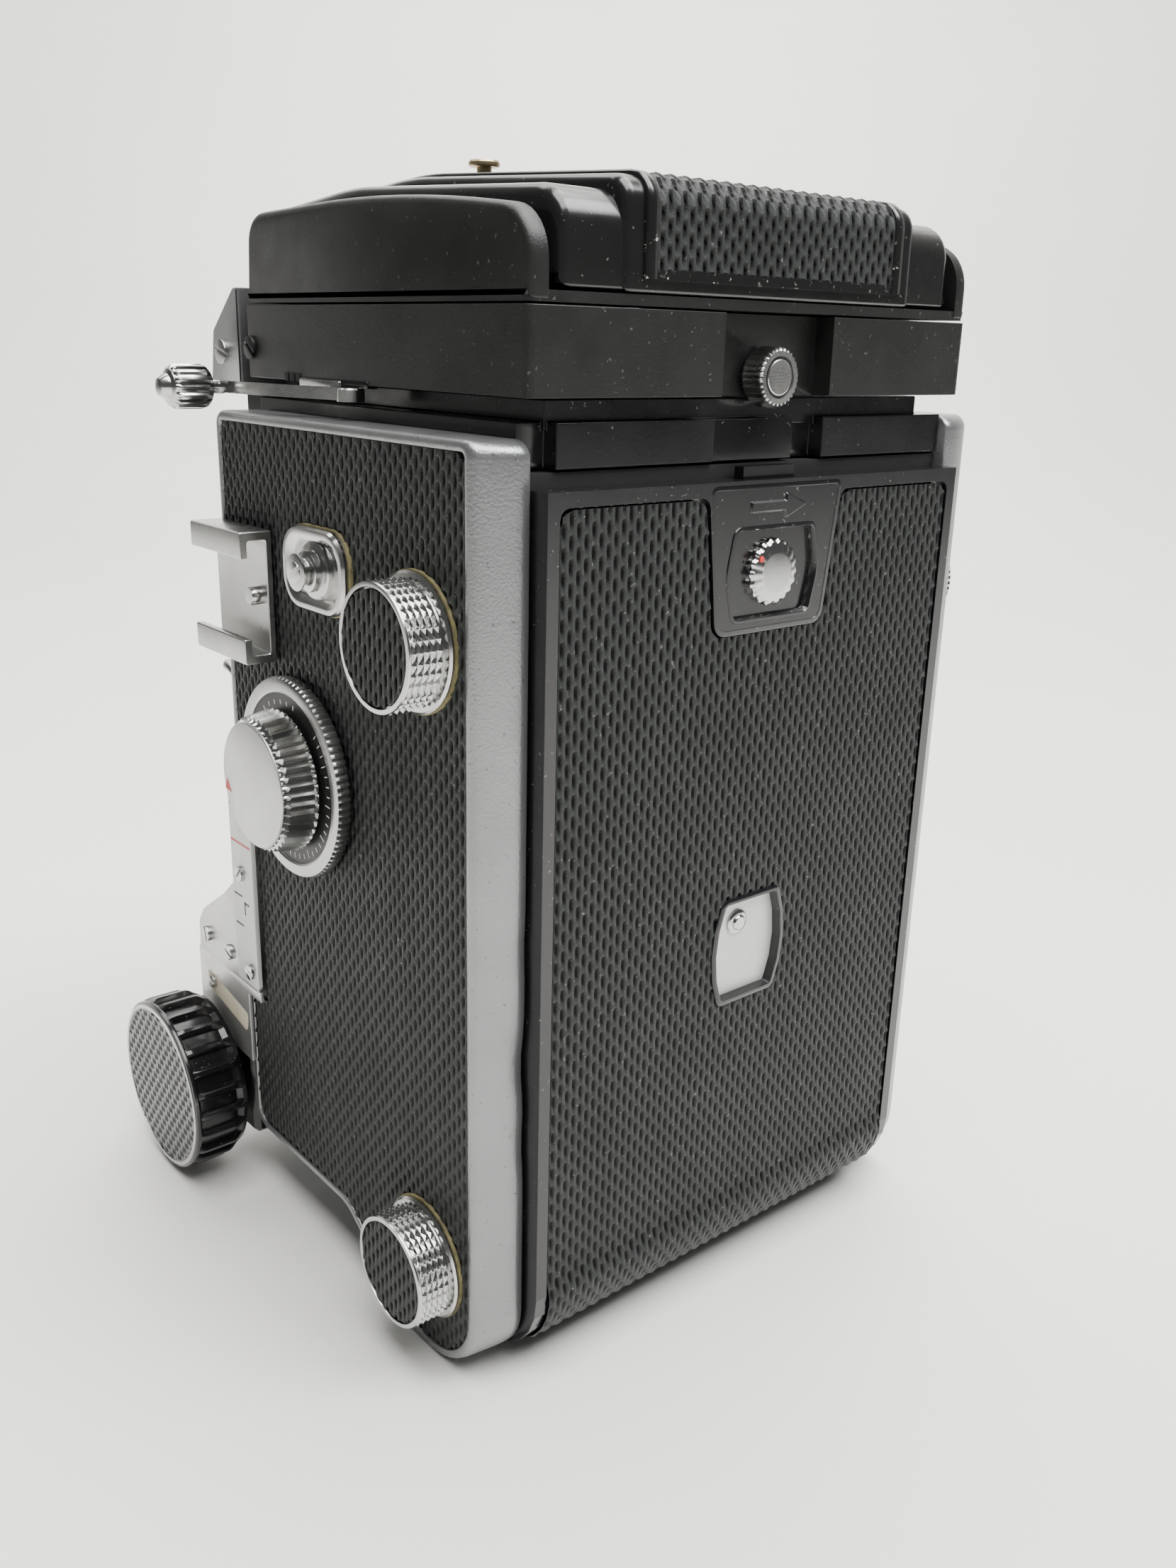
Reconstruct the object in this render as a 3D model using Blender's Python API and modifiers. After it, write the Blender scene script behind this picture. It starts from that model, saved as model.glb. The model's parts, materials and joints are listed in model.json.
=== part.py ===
"""Twin lens reflex camera with interchangeable lenses and bellows focusing, as an assembly.

Axes: +Z up, the lenses face -Y, the back door faces +Y, +X is the camera's own left side.
Dimensions below are millimetres measured from a datum on the camera: x from the middle plane,
y from the plane of the rear rim and z from the surface that the camera stands on. The root
empty carries that datum to the origin, which is the middle of the camera's footprint.
"""
import math

import bmesh
import bpy
from mathutils import Matrix, Vector

MM = 0.001
DATUM_Y = 51.6           # rear rim plane, behind the middle of the footprint
GAP = 0.3                # running or seating gap between neighbouring solids

# Body
COVER_IN, COVER_OUT = 40.2, 47.7
CASTING_HALF = 39.8
FRONT_Y = -67.8
PANEL_BOTTOM = 11.7
LEFT_TOP, RIGHT_TOP = 135.6, 137.2
SKIN_RECESS = 0.8
SKIN = 0.5
DECK_BOTTOM, DECK_TOP = 131.8, 137.4
SEAT_TOP = 140.0

# Optical layout
TAKING_Z, VIEWING_Z = 62.0, 112.0
GATE_HALF = 28.0
MIRROR_BOX_HALF = 29.5

# Film spools
SPOOL_Y = -12.3
UPPER_SPOOL_Z, LOWER_SPOOL_Z = 109.7, 16.5
SPOOL_R, SPOOL_CORE_R, SPOOL_HALF = 12.6, 6.0, 31.8
CHAMBER_R, CHAMBER_HALF = 14.4, 33.5
SPOOL_PIN_R = 2.3

# Dials on the two sides
DIAL_Y, DIAL_Z = -44.3, 83.4
COUNTER_Y, COUNTER_Z = -53.0, 92.0

# Back door
DOOR_HALF = 39.9
DOOR_Y = 4.6
DOOR_TOP = 129.7
DOOR_WALL = 1.6
HINGE_Y, HINGE_Z = -35.4, 11.4
LOCK_Z, LOCK_R = 117.0, 4.7
WINDOW_Z = 60.2

# Focusing
SHAFT_Y, SHAFT_Z = -81.9, 16.6
FOCUS_KNOB_R, FOCUS_KNOB_IN, FOCUS_KNOB_OUT = 15.7, 48.95, 59.5
PINION_R = 4.4
RAIL_X = (31.0, 36.0)
RAIL_Z = (22.0, 27.0)
FOLD_COUNT, FOLD_THICK, FOLD_GAP = 2, 4.5, 0.5
STANDARD_REAR, STANDARD_FRONT = -79.0, -83.0
BOARD_FRONT = -86.5
TAKING_FRONT = -108.6

# Finder
BASE_HALF, BASE_FRONT, BASE_REAR = 41.4, -68.5, 2.4
BASE_BOTTOM, BASE_TOP = 140.3, 150.7
HOOD_Z = 151.0
LID_HINGE_Y, LID_HINGE_Z = -64.5, 156.0
LEAF_REACH = 33.0
LEAF_HINGE_X = 34.0

ROUND = 28               # segments in a large round piece


# ---------------------------------------------------------------- scene helpers
def clear_scene():
    for obj in list(bpy.data.objects):
        bpy.data.objects.remove(obj, do_unlink=True)


def new_collection(name):
    collection = bpy.data.collections.new(name)
    bpy.context.scene.collection.children.link(collection)
    return collection


def material(name, colour, roughness, metallic=0.0):
    mat = bpy.data.materials.new(name)
    mat.use_nodes = True
    shader = mat.node_tree.nodes["Principled BSDF"]
    shader.inputs["Base Color"].default_value = (*colour, 1.0)
    shader.inputs["Roughness"].default_value = roughness
    shader.inputs["Metallic"].default_value = metallic
    return mat


clear_scene()
PARTS = new_collection("twin_lens_reflex_camera")
CUTTERS = new_collection("cutters")
ROOT = bpy.data.objects.new("camera_datum", None)
ROOT.location = (0.0, DATUM_Y * MM, 0.0)
PARTS.objects.link(ROOT)

SILVER = material("silver_paint", (0.52, 0.53, 0.55), 0.35, 0.6)
BLACK = material("black_enamel", (0.012, 0.012, 0.014), 0.25)
MATT = material("matt_black", (0.03, 0.03, 0.032), 0.6)
SKIN_MAT = material("leatherette", (0.035, 0.035, 0.035), 0.55)
CHROME = material("chrome", (0.72, 0.72, 0.72), 0.15, 1.0)
STEEL = material("bright_steel", (0.6, 0.6, 0.6), 0.3, 1.0)
BRASS = material("brass", (0.55, 0.42, 0.2), 0.35, 1.0)
GLASS = material("coated_glass", (0.5, 0.55, 0.7), 0.03)
MIRROR = material("mirror", (0.9, 0.9, 0.9), 0.03, 1.0)
CLOTH = material("bellows_cloth", (0.02, 0.02, 0.02), 0.8)


def frame_for(axis):
    """Rotation that carries a local outline (x, y) and its thickness (z) to the named world axis."""
    columns = {
        "X": ((0, 1, 0), (0, 0, 1), (1, 0, 0)),
        "Y": ((1, 0, 0), (0, 0, 1), (0, -1, 0)),
        "Z": ((1, 0, 0), (0, 1, 0), (0, 0, 1)),
    }[axis]
    return Matrix(columns).transposed().to_4x4()


def place(obj, matrix, mat):
    obj.matrix_world = Matrix.Translation(ROOT.location) @ matrix
    obj.data.materials.append(mat)
    PARTS.objects.link(obj)
    obj.parent = ROOT
    obj.matrix_parent_inverse = Matrix.Translation(-ROOT.location)
    return obj


def mesh_object(name, build):
    mesh = bpy.data.meshes.new(name)
    bm = bmesh.new()
    build(bm)
    bm.to_mesh(mesh)
    bm.free()
    return bpy.data.objects.new(name, mesh)


def as_mesh(curve_object):
    """The filled mesh of a curve object, welded shut."""
    PARTS.objects.link(curve_object)
    graph = bpy.context.evaluated_depsgraph_get()
    mesh = bpy.data.meshes.new_from_object(curve_object.evaluated_get(graph))
    bm = bmesh.new()
    bm.from_mesh(mesh)
    bmesh.ops.remove_doubles(bm, verts=bm.verts, dist=1e-6)
    bmesh.ops.recalc_face_normals(bm, faces=bm.faces)
    bm.to_mesh(mesh)
    bm.free()
    mesh.materials.clear()
    name = curve_object.name
    bpy.data.objects.remove(curve_object, do_unlink=True)
    obj = bpy.data.objects.new(name, mesh)
    obj.name = name
    return obj


# ---------------------------------------------------------------- shape helpers
def rounded(corners, steps=4):
    """Outline through (u, v, radius) corners, each turned with its own radius."""
    outline = []
    count = len(corners)
    for index, (u, v, radius) in enumerate(corners):
        corner = Vector((u, v))
        if radius <= 0:
            outline.append(corner)
            continue
        before = Vector(corners[index - 1][:2]) - corner
        after = Vector(corners[(index + 1) % count][:2]) - corner
        half = before.angle(after) / 2
        reach = radius / math.tan(half)
        start = corner + before.normalized() * reach
        end = corner + after.normalized() * reach
        centre = corner + (before.normalized() + after.normalized()).normalized() * radius / math.sin(half)
        first = math.atan2(start.y - centre.y, start.x - centre.x)
        turn = math.atan2(end.y - centre.y, end.x - centre.x) - first
        turn = (turn + math.pi) % (2 * math.pi) - math.pi
        for step in range(steps + 1):
            angle = first + turn * step / steps
            outline.append(centre + Vector((math.cos(angle), math.sin(angle))) * radius)
    return outline


def rectangle(u0, u1, v0, v1, radius=0.0):
    return rounded([(u0, v0, radius), (u1, v0, radius), (u1, v1, radius), (u0, v1, radius)], 4)


def circle(u, v, radius, segments=24):
    return [Vector((u + radius * math.cos(2 * math.pi * i / segments),
                    v + radius * math.sin(2 * math.pi * i / segments))) for i in range(segments)]


def outline_object(name, outlines, axis, low, high):
    """Flat outlines extruded from low to high along an axis; inner outlines are openings."""
    curve = bpy.data.curves.new(name, "CURVE")
    curve.dimensions = "2D"
    curve.fill_mode = "BOTH"
    curve.extrude = (high - low) / 2 * MM
    for outline in outlines:
        spline = curve.splines.new("POLY")
        spline.points.add(len(outline) - 1)
        for point, (u, v) in zip(spline.points, outline):
            point.co = (u * MM, v * MM, 0.0, 1.0)
        spline.use_cyclic_u = True
    return as_mesh(bpy.data.objects.new(name, curve))


def along(axis, distance):
    """Offset along X or Z, or along -Y, which is where an outline drawn in X and Z gains thickness."""
    return {"X": Vector((1, 0, 0)), "Y": Vector((0, -1, 0)), "Z": Vector((0, 0, 1))}[axis] * distance * MM


def plate(name, outlines, axis, low, high, mat, bevel=0.0):
    obj = outline_object(name, outlines, axis, low, high)
    place(obj, Matrix.Translation(along(axis, (low + high) / 2)) @ frame_for(axis), mat)
    if bevel:
        soften(obj, bevel)
    return obj


def box(name, low, high, mat, bevel=0.0):
    size = Vector(high) - Vector(low)
    centre = (Vector(high) + Vector(low)) / 2

    def build(bm):
        bmesh.ops.create_cube(bm, size=1.0, matrix=Matrix.Diagonal((*(size * MM), 1.0)))

    obj = place(mesh_object(name, build), Matrix.Translation(centre * MM), mat)
    if bevel:
        soften(obj, bevel)
    return obj


def soften(obj, width, segments=1):
    bevel = obj.modifiers.new("edges", "BEVEL")
    bevel.width = width * MM
    bevel.segments = segments
    bevel.limit_method = "ANGLE"
    bevel.angle_limit = math.radians(40)


def turned(name, profile, axis, centre, mat, segments=ROUND):
    """Turned solid from a (radius, height) profile, run so that its outer side goes downwards."""
    loop = zip(profile, profile[1:] + profile[:1])
    if sum(r0 * h1 - r1 * h0 for (r0, h0), (r1, h1) in loop) > 0:
        profile = profile[::-1]
    mesh = bpy.data.meshes.new(name)
    points = [(radius * MM, 0.0, height * MM) for radius, height in profile]
    mesh.from_pydata(points, [(i, i + 1) for i in range(len(points) - 1)], [])
    obj = bpy.data.objects.new(name, mesh)
    screw = obj.modifiers.new("turn", "SCREW")
    screw.axis = "Z"
    screw.steps = segments
    screw.render_steps = segments
    screw.use_merge_vertices = True
    screw.merge_threshold = 1e-6
    screw.use_smooth_shade = True
    aim = {"X": (0, 90), "-X": (0, -90), "-Y": (90, 0), "Y": (-90, 0), "Z": (0, 0)}[axis]
    spin = Matrix.Rotation(math.radians(aim[1]), 4, "Y") @ Matrix.Rotation(math.radians(aim[0]), 4, "X")
    return place(obj, Matrix.Translation(Vector(centre) * MM) @ spin, mat)


def rod(name, axis, centre, radius, length, mat, segments=20):
    half = length / 2
    return turned(name, [(0, half), (radius, half), (radius, -half), (0, -half)], axis, centre, mat, segments)


def tube_profile(outer, inner, top, bottom):
    return [(inner, bottom), (inner, top), (outer, top), (outer, bottom), (inner, bottom)]


def wire(name, points, radius, mat):
    curve = bpy.data.curves.new(name, "CURVE")
    curve.dimensions = "3D"
    curve.bevel_depth = radius * MM
    curve.bevel_resolution = 1
    curve.use_fill_caps = True
    spline = curve.splines.new("POLY")
    spline.points.add(len(points) - 1)
    for point, place_mm in zip(spline.points, points):
        point.co = (*(Vector(place_mm) * MM), 1.0)
    return place(as_mesh(bpy.data.objects.new(name, curve)), Matrix.Identity(4), mat)


def cutter(obj):
    PARTS.objects.unlink(obj)
    CUTTERS.objects.link(obj)
    obj.hide_render = True
    obj.display_type = "WIRE"
    return obj


def combine(target, other, operation="DIFFERENCE"):
    boolean = target.modifiers.new(other.name, "BOOLEAN")
    boolean.operation = operation
    boolean.object = cutter(other)


def join_all(target, others):
    for other in others:
        combine(target, other, "UNION")


def pivot(name, location, *objects):
    """An empty on a joint's axis that carries the pieces which move there."""
    empty = bpy.data.objects.new(name, None)
    PARTS.objects.link(empty)
    empty.parent = ROOT
    empty.location = Vector(location) * MM
    seat = Matrix.Translation(ROOT.location + Vector(location) * MM)
    for obj in objects:
        obj.parent = empty
        obj.matrix_parent_inverse = seat.inverted()
    return empty


# ---------------------------------------------------------------- body
def side_outline(top, inset=0.0, front_extra=0.0):
    """Side silhouette of a cover: straight sides, and the film chamber's bulge at the rear foot."""
    return rounded([
        (FRONT_Y + inset + front_extra, top - inset, 2.2),
        (-inset, top - inset, 2.2),
        (-inset, inset, 12.0 - inset),
        (-19.5 + 0.4 * inset, inset, 12.0),
        (-36.2 + 0.4 * inset, PANEL_BOTTOM + inset, 7.0),
        (FRONT_Y + inset + front_extra, PANEL_BOTTOM + inset, 4.0),
    ])


def main_casting():
    outline = rounded([
        (FRONT_Y + 0.2, DECK_BOTTOM - GAP, 0), (0.0, DECK_BOTTOM - GAP, 0), (0.0, 4.0, 10.5),
        (-17.7, 4.0, 9.0), (-33.4, 13.4, 0), (-39.0, 13.4, 0), (-40.5, 12.1, 0), (FRONT_Y + 0.2, 12.1, 0)])
    casting = plate("main_casting", [outline], "X", -CASTING_HALF, CASTING_HALF, MATT)
    box_front = FRONT_Y - 3
    cuts = [
        box("cut_mirror_box", (-MIRROR_BOX_HALF, box_front, 32.6), (MIRROR_BOX_HALF, -3.0, 91.4), MATT),
        box("cut_gate", (-GATE_HALF, -4.0, TAKING_Z - GATE_HALF), (GATE_HALF, 2.0, TAKING_Z + GATE_HALF), MATT),
        plate("cut_finder_tunnel", [[(box_front, 96.0), (-53.5, 96.0), (-14.5, 135.0), (box_front, 135.0)]],
              "X", -MIRROR_BOX_HALF, MIRROR_BOX_HALF, MATT),
    ]
    for tag, z in (("upper", UPPER_SPOOL_Z), ("lower", LOWER_SPOOL_Z)):
        mouth_low = -1.0 if tag == "lower" else z - CHAMBER_R
        chamber = rounded([(SPOOL_Y - CHAMBER_R, z + CHAMBER_R, CHAMBER_R - 0.1), (2.0, z + CHAMBER_R, 0),
                           (2.0, mouth_low, 0),
                           (SPOOL_Y - CHAMBER_R, mouth_low, 0 if tag == "lower" else CHAMBER_R - 0.1)], 8)
        cuts.append(plate(f"cut_{tag}_chamber", [chamber], "X", -CHAMBER_HALF, CHAMBER_HALF, MATT))
        cuts.append(rod(f"cut_{tag}_pin_hole", "X", (0, SPOOL_Y, z), SPOOL_PIN_R + 0.7, 90, MATT, 16))
    for side in (-1, 1):
        inner, outer = sorted((side * (RAIL_X[0] - 0.5), side * (RAIL_X[1] + 0.5)))
        cuts.append(box(f"cut_rail_channel_{side}", (inner, box_front, RAIL_Z[0] - 0.5),
                        (outer, -28.2, RAIL_Z[1] + 0.5), MATT))
    for cut in cuts:
        combine(casting, cut)
    lug = plate("hinge_lug", [rounded([(HINGE_Y - 1.5, 14.5, 0), (HINGE_Y - 1.5, HINGE_Z - 1.5, 1.45),
                                       (HINGE_Y + 1.5, HINGE_Z - 1.5, 1.45), (HINGE_Y + 1.5, 14.5, 0)], 4)],
                "X", -18.0, 18.0, MATT)
    combine(casting, lug, "UNION")
    combine(casting, rod("cut_lug_bore", "X", (0, HINGE_Y, HINGE_Z), 1.0, 40, MATT, 12))


def top_deck():
    """Black deck over the finder tunnel, stepped at its rear edge, with the seat of the finder."""
    rear = -2.0
    outline = [(-39.9, FRONT_Y), (39.9, FRONT_Y), (39.9, rear), (35.5, rear), (35.5, 0.5), (8.8, 0.5),
               (8.8, 0.1), (-6.9, 0.1), (-6.9, rear), (-12.8, rear), (-12.8, 0.5), (-39.9, 0.5)]
    opening = rectangle(-28.5, 28.5, -65.0, -14.0, 2.0)
    deck = plate("top_deck", [outline, opening], "Z", DECK_BOTTOM, DECK_TOP, BLACK)
    seat = plate("finder_seat", [rectangle(-36.0, 36.0, -66.5, -1.4), rectangle(-28.5, 28.5, -65.0, -14.0, 2.0)],
                 "Z", DECK_TOP - 1.0, SEAT_TOP, BLACK)
    combine(deck, seat, "UNION")
    ledge = plate("cut_screen_ledge", [rectangle(-30.5, 30.5, -66.0, -9.0)], "Z", SEAT_TOP - 2.4, SEAT_TOP + 2, BLACK)
    combine(deck, ledge)


def side_cover(name, side, top):
    low, high = sorted((side * COVER_IN, side * COVER_OUT))
    cover = plate(name, [side_outline(top)], "X", low, high, SILVER, bevel=0.8)
    floor = side * (COVER_OUT - SKIN_RECESS)
    recess_low, recess_high = sorted((floor, side * (COVER_OUT + 3)))
    combine(cover, plate(f"cut_{name}_recess", [side_outline(top, 1.5)], "X", recess_low, recess_high, SILVER))
    return cover


def pin_bore(cover, side, z):
    tag = f"cut_{cover.name}_pin_{int(z)}"
    combine(cover, rod(tag, "X", (side * 44, SPOOL_Y, z), SPOOL_PIN_R + 0.7, 20, SILVER, 16))


def skin_panel(name, side, top, openings):
    outline = side_outline(top, 1.8)
    low, high = sorted((side * (COVER_OUT - SKIN), side * COVER_OUT))
    skin = plate(name, [outline], "X", low, high, SKIN_MAT)
    for index, opening in enumerate(openings):
        cut_low, cut_high = sorted((side * (COVER_OUT - 3), side * (COVER_OUT + 3)))
        combine(skin, plate(f"cut_{name}_{index}", [opening], "X", cut_low, cut_high, SKIN_MAT))
    return skin


def sides():
    left = side_cover("left_side_cover", 1, LEFT_TOP)
    lock_bore = rod("cut_lens_lock_bore", "X", (46, DIAL_Y, DIAL_Z), 2.1, 6, SILVER, 16)
    combine(left, lock_bore)
    pin_bore(left, 1, UPPER_SPOOL_Z)
    pin_bore(left, 1, LOWER_SPOOL_Z)
    right = side_cover("right_side_cover", -1, RIGHT_TOP)
    pin_bore(right, -1, UPPER_SPOOL_Z)
    combine(right, rod("cut_counter_pocket", "X", (-46, COUNTER_Y, COUNTER_Z), 6.6, 6, SILVER, 24))
    pins = [circle(SPOOL_Y, z, SPOOL_PIN_R + 0.7, 16) for z in (UPPER_SPOOL_Z, LOWER_SPOOL_Z)]
    plate_notch = [(-75, 38.2), (-57.3, 38.2), (-57.3, 40.7), (-61.0, 40.7), (-61.0, 82.5), (-75, 82.5)]
    skin_panel("left_leatherette", 1, LEFT_TOP, pins + [circle(DIAL_Y, DIAL_Z, 2.1, 16), plate_notch])
    skin_panel("right_leatherette", -1, RIGHT_TOP, pins[:1] + [circle(COUNTER_Y, COUNTER_Z, 6.6)])


def tripod_base():
    pad = plate("tripod_base", [rectangle(-17.0, 17.0, -66.0, -44.0, 3.0)], "Z", 0.0, PANEL_BOTTOM, BLACK, bevel=0.6)
    combine(pad, rod("cut_bush_seat", "Z", (0, -53.5, 4.0), 6.3, 9.4, BLACK, 24))
    turned("tripod_bush", tube_profile(6.0, 3.1, 4.0, -4.2), "Z", (0, -53.5, 4.5), STEEL, 24)


def accessory_shoe():
    """Shoe rails run along Y; the section is a channel with lips turned in."""
    back, face, lip = COVER_OUT + GAP, 53.1, 51.9
    low, high = 99.9, 119.4
    section = [(back, low), (face, low), (face, low + 3.8), (lip, low + 3.8), (lip, low + 1.2),
               (back + 1.0, low + 1.2), (back + 1.0, high - 1.2), (lip, high - 1.2), (lip, high - 3.8),
               (face, high - 3.8), (face, high), (back, high)]
    shoe = plate("accessory_shoe", [section], "Y", 50.3, 66.9, STEEL)
    stop = rod("shoe_stop", "X", (back + 1.7, -53.0, 109.6), 1.2, 2.6, STEEL, 12)
    combine(shoe, stop, "UNION")


def strap_lugs():
    """A dished plate and a stepped stud on each side of the body."""
    for name, side in (("left_strap_lug", 1), ("right_strap_lug", -1)):
        back = side * (COVER_OUT + GAP)
        low, high = sorted((back, back + side * 1.0))
        lug = plate(name, [rectangle(-45.4, -28.4, 109.6, 121.4, 4.5)], "X", low, high, CHROME)
        axis = "X" if side == 1 else "-X"
        stud = turned(f"{name}_stud", [(0, 3.2), (1.6, 3.2), (2.0, 2.8), (2.0, 2.0), (3.1, 1.8), (3.1, 0.6),
                                       (4.2, 0.4), (4.2, -0.4), (0, -0.4)], axis,
                      (back + side * 0.6, -36.8, 115.4), CHROME, 24)
        combine(lug, stud, "UNION")


# ---------------------------------------------------------------- optics and film
def mirror_and_screen():
    slab = box("mirror", (-27.5, -0.8, -25.5), (27.5, 0.8, 25.5), MIRROR)
    slab.matrix_world = (Matrix.Translation(Vector((0, DATUM_Y - 35.3, 116.8)) * MM)
                         @ Matrix.Rotation(math.radians(-45), 4, "X"))
    box("focusing_screen", (-30.0, -65.6, SEAT_TOP - 2.1), (30.0, -9.4, SEAT_TOP - 0.2), GLASS)


def light_baffle():
    """Flap at the foot of the mirror box that rises across the film gate for a lens change."""
    flap = box("light_baffle", (-26.0, -63.0, 33.4), (26.0, -9.5, 34.4), MATT)
    spine = rod("baffle_spindle", "X", (0, -9.0, 34.5), 1.2, 52, MATT, 12)
    combine(flap, spine, "UNION")
    pivot("baffle_axis", (0, -9.0, 34.5), flap)


def spool(name, z):
    half, flange = SPOOL_HALF, 1.0
    profile = [(3.1, half - 8), (3.1, half), (SPOOL_R, half), (SPOOL_R, half - flange),
               (SPOOL_CORE_R, half - flange), (SPOOL_CORE_R, flange - half), (SPOOL_R, flange - half),
               (SPOOL_R, -half), (3.1, -half), (3.1, 8 - half)]
    closed = [(0, half - 8)] + profile + [(0, 8 - half)]
    body = turned(name, closed, "X", (0, SPOOL_Y, z), MATT, 28)
    pivot(f"{name}_axis", (0, SPOOL_Y, z), body)


# ---------------------------------------------------------------- back door
def door_section(outer_y, low, inset):
    """Side section of the door pan, which turns under the film chamber to the hinge."""
    return rounded([(0.4, DOOR_TOP - inset, 0), (outer_y, DOOR_TOP - inset, 0), (outer_y, low, 13.0 - inset),
                    (-18.6 + 0.3 * inset, low, 10.0), (-34.2 + 0.6 * inset, 11.2 + 0.6 * inset, 0),
                    (-33.6, 13.0, 0), (-17.8, 3.6, 9.0), (0.4, 3.6, 10.5)], 6)


def back_door():
    door = plate("back_door", [door_section(DOOR_Y, 2.0, 0.0)], "X", -DOOR_HALF, DOOR_HALF, BLACK, bevel=0.7)
    hollow = rounded([(-1.5, DOOR_TOP - 1.4, 0), (DOOR_Y - DOOR_WALL, DOOR_TOP - 1.4, 0),
                      (DOOR_Y - DOOR_WALL, 3.2, 11.6), (-18.3, 3.2, 9.0), (-31.5, 11.1, 0), (-31.5, 30.0, 0),
                      (-1.5, 30.0, 0)], 6)
    combine(door, plate("cut_door_hollow", [hollow], "X", -38.4, 38.4, BLACK))
    lock_plate = box("lock_plate", (-10.5, 1.6, 109.0), (10.5, 3.4, 124.2), BLACK)
    combine(door, lock_plate, "UNION")
    window = rounded([(-6.8, 52.6, 1.0), (-5.4, WINDOW_Z - 7.9, 0.8), (5.4, WINDOW_Z - 7.9, 0.8), (6.8, 56.0, 1.0),
                      (7.0, WINDOW_Z, 5.0), (6.8, 64.4, 1.0), (5.4, WINDOW_Z + 7.9, 0.8),
                      (-5.4, WINDOW_Z + 7.9, 0.8), (-6.8, 64.4, 1.0), (-7.0, WINDOW_Z, 5.0)], 3)
    combine(door, plate("cut_window", [window], "Y", -8, 0, BLACK))
    barrel = rounded([(-7.4, 111.0, 1.0), (7.4, 111.0, 1.0), (8.8, LOCK_Z, 9.0), (7.6, 123.0, 1.0),
                      (-7.6, 123.0, 1.0), (-8.8, LOCK_Z, 9.0)], 4)
    combine(door, plate("cut_lock_window", [barrel], "Y", -8, -2.6, BLACK))
    skin = [rounded([(-38.0, 14.0, 1.0), (38.0, 14.0, 1.0), (38.0, 127.8, 1.5), (13.0, 127.8, 1.5),
                     (10.8, 109.2, 1.5), (-10.8, 109.2, 1.5), (-13.2, 127.8, 1.5), (-38.0, 127.8, 1.5)], 3)]
    combine(door, plate("cut_skin_recess", skin, "Y", -8, 0.9 - DOOR_Y, BLACK))
    combine(door, box("cut_lug_clearance", (-18.4, -40.0, 8.0), (18.4, HINGE_Y + 1.5 + 0.4, 16.0), BLACK))
    combine(door, box("cut_latch_slot", (-5.4, 0.6, 127.0), (5.4, 2.9, 131.0), BLACK))
    for side in (-1, 1):
        low, high = sorted((side * 18.4, side * 38.2))
        combine(door, plate(f"door_knuckle_{side}", [circle(HINGE_Y, HINGE_Z, 1.5, 16)], "X", low, high, BLACK), "UNION")
    combine(door, rod("cut_door_bore", "X", (0, HINGE_Y, HINGE_Z), 1.0, 90, BLACK, 12))
    rod("door_hinge_pin", "X", (0, HINGE_Y, HINGE_Z), 0.7, 76, STEEL, 12)

    skin_line = rounded([(-37.7, 14.3, 1.0), (37.7, 14.3, 1.0), (37.7, 127.5, 1.2), (13.3, 127.5, 1.2),
                         (11.1, 108.9, 1.2), (-11.1, 108.9, 1.2), (-13.5, 127.5, 1.2), (-37.7, 127.5, 1.2)], 3)
    hole = rounded([(-6.8, 51.4, 1.0), (6.8, 51.4, 1.0), (8.4, WINDOW_Z, 6.0), (6.8, 69.0, 1.0),
                    (-6.8, 69.0, 1.0), (-8.4, WINDOW_Z, 6.0)], 3)
    skin_sheet = plate("door_leatherette", [skin_line, hole], "Y", -DOOR_Y, 0.6 - DOOR_Y, SKIN_MAT)

    dial = turned("door_lock_dial", [(0, 5.4), (2.9, 5.4), (LOCK_R, 5.0), (LOCK_R, 3.7), (0, 3.7)], "Y",
                  (0, 0, LOCK_Z), CHROME, 36)
    latch = box("door_latch", (-5.0, 0.9, 126.2), (5.0, 2.6, 131.3), STEEL)
    pressure = box("pressure_plate", (-29.4, 0.7, 31.5), (29.4, 1.4, 92.5), MATT)
    carrier = box("plate_carrier", (-12.0, 2.1, 42.0), (12.0, 2.6, 78.0), STEEL)
    rivet = rod("carrier_rivet", "Y", (1.6, 3.0, 64.2), 1.9, 1.2, STEEL, 16)
    combine(carrier, rivet, "UNION")
    pivot("door_axis", (0, HINGE_Y, HINGE_Z), door, skin_sheet, carrier)
    pivot("lock_axis", (0, 4.4, LOCK_Z), dial)
    pivot("latch_slide", (0, 1.7, 128.0), latch)
    pivot("plate_slide", (0, 1.0, TAKING_Z), pressure)


# ---------------------------------------------------------------- focusing
def focus_bed():
    bed = box("focus_bed", (-COVER_OUT, -86.0, 8.4), (COVER_OUT, FRONT_Y - GAP, 40.0), BLACK, bevel=1.0)
    combine(bed, box("cut_bed", (-41.5, -100, 11.2), (41.5, -50, 50), BLACK))
    combine(bed, rod("cut_shaft_bore", "X", (0, SHAFT_Y, SHAFT_Z), 2.9, 120, BLACK, 20))
    combine(bed, rod("cut_release_bore", "Y", (-44.6, -85, 32.0), 1.9, 26, BLACK, 12))
    combine(bed, rod("cut_release_seat", "Y", (-44.6, -84, 32.0), 2.9, 6.0, BLACK, 16))


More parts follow.
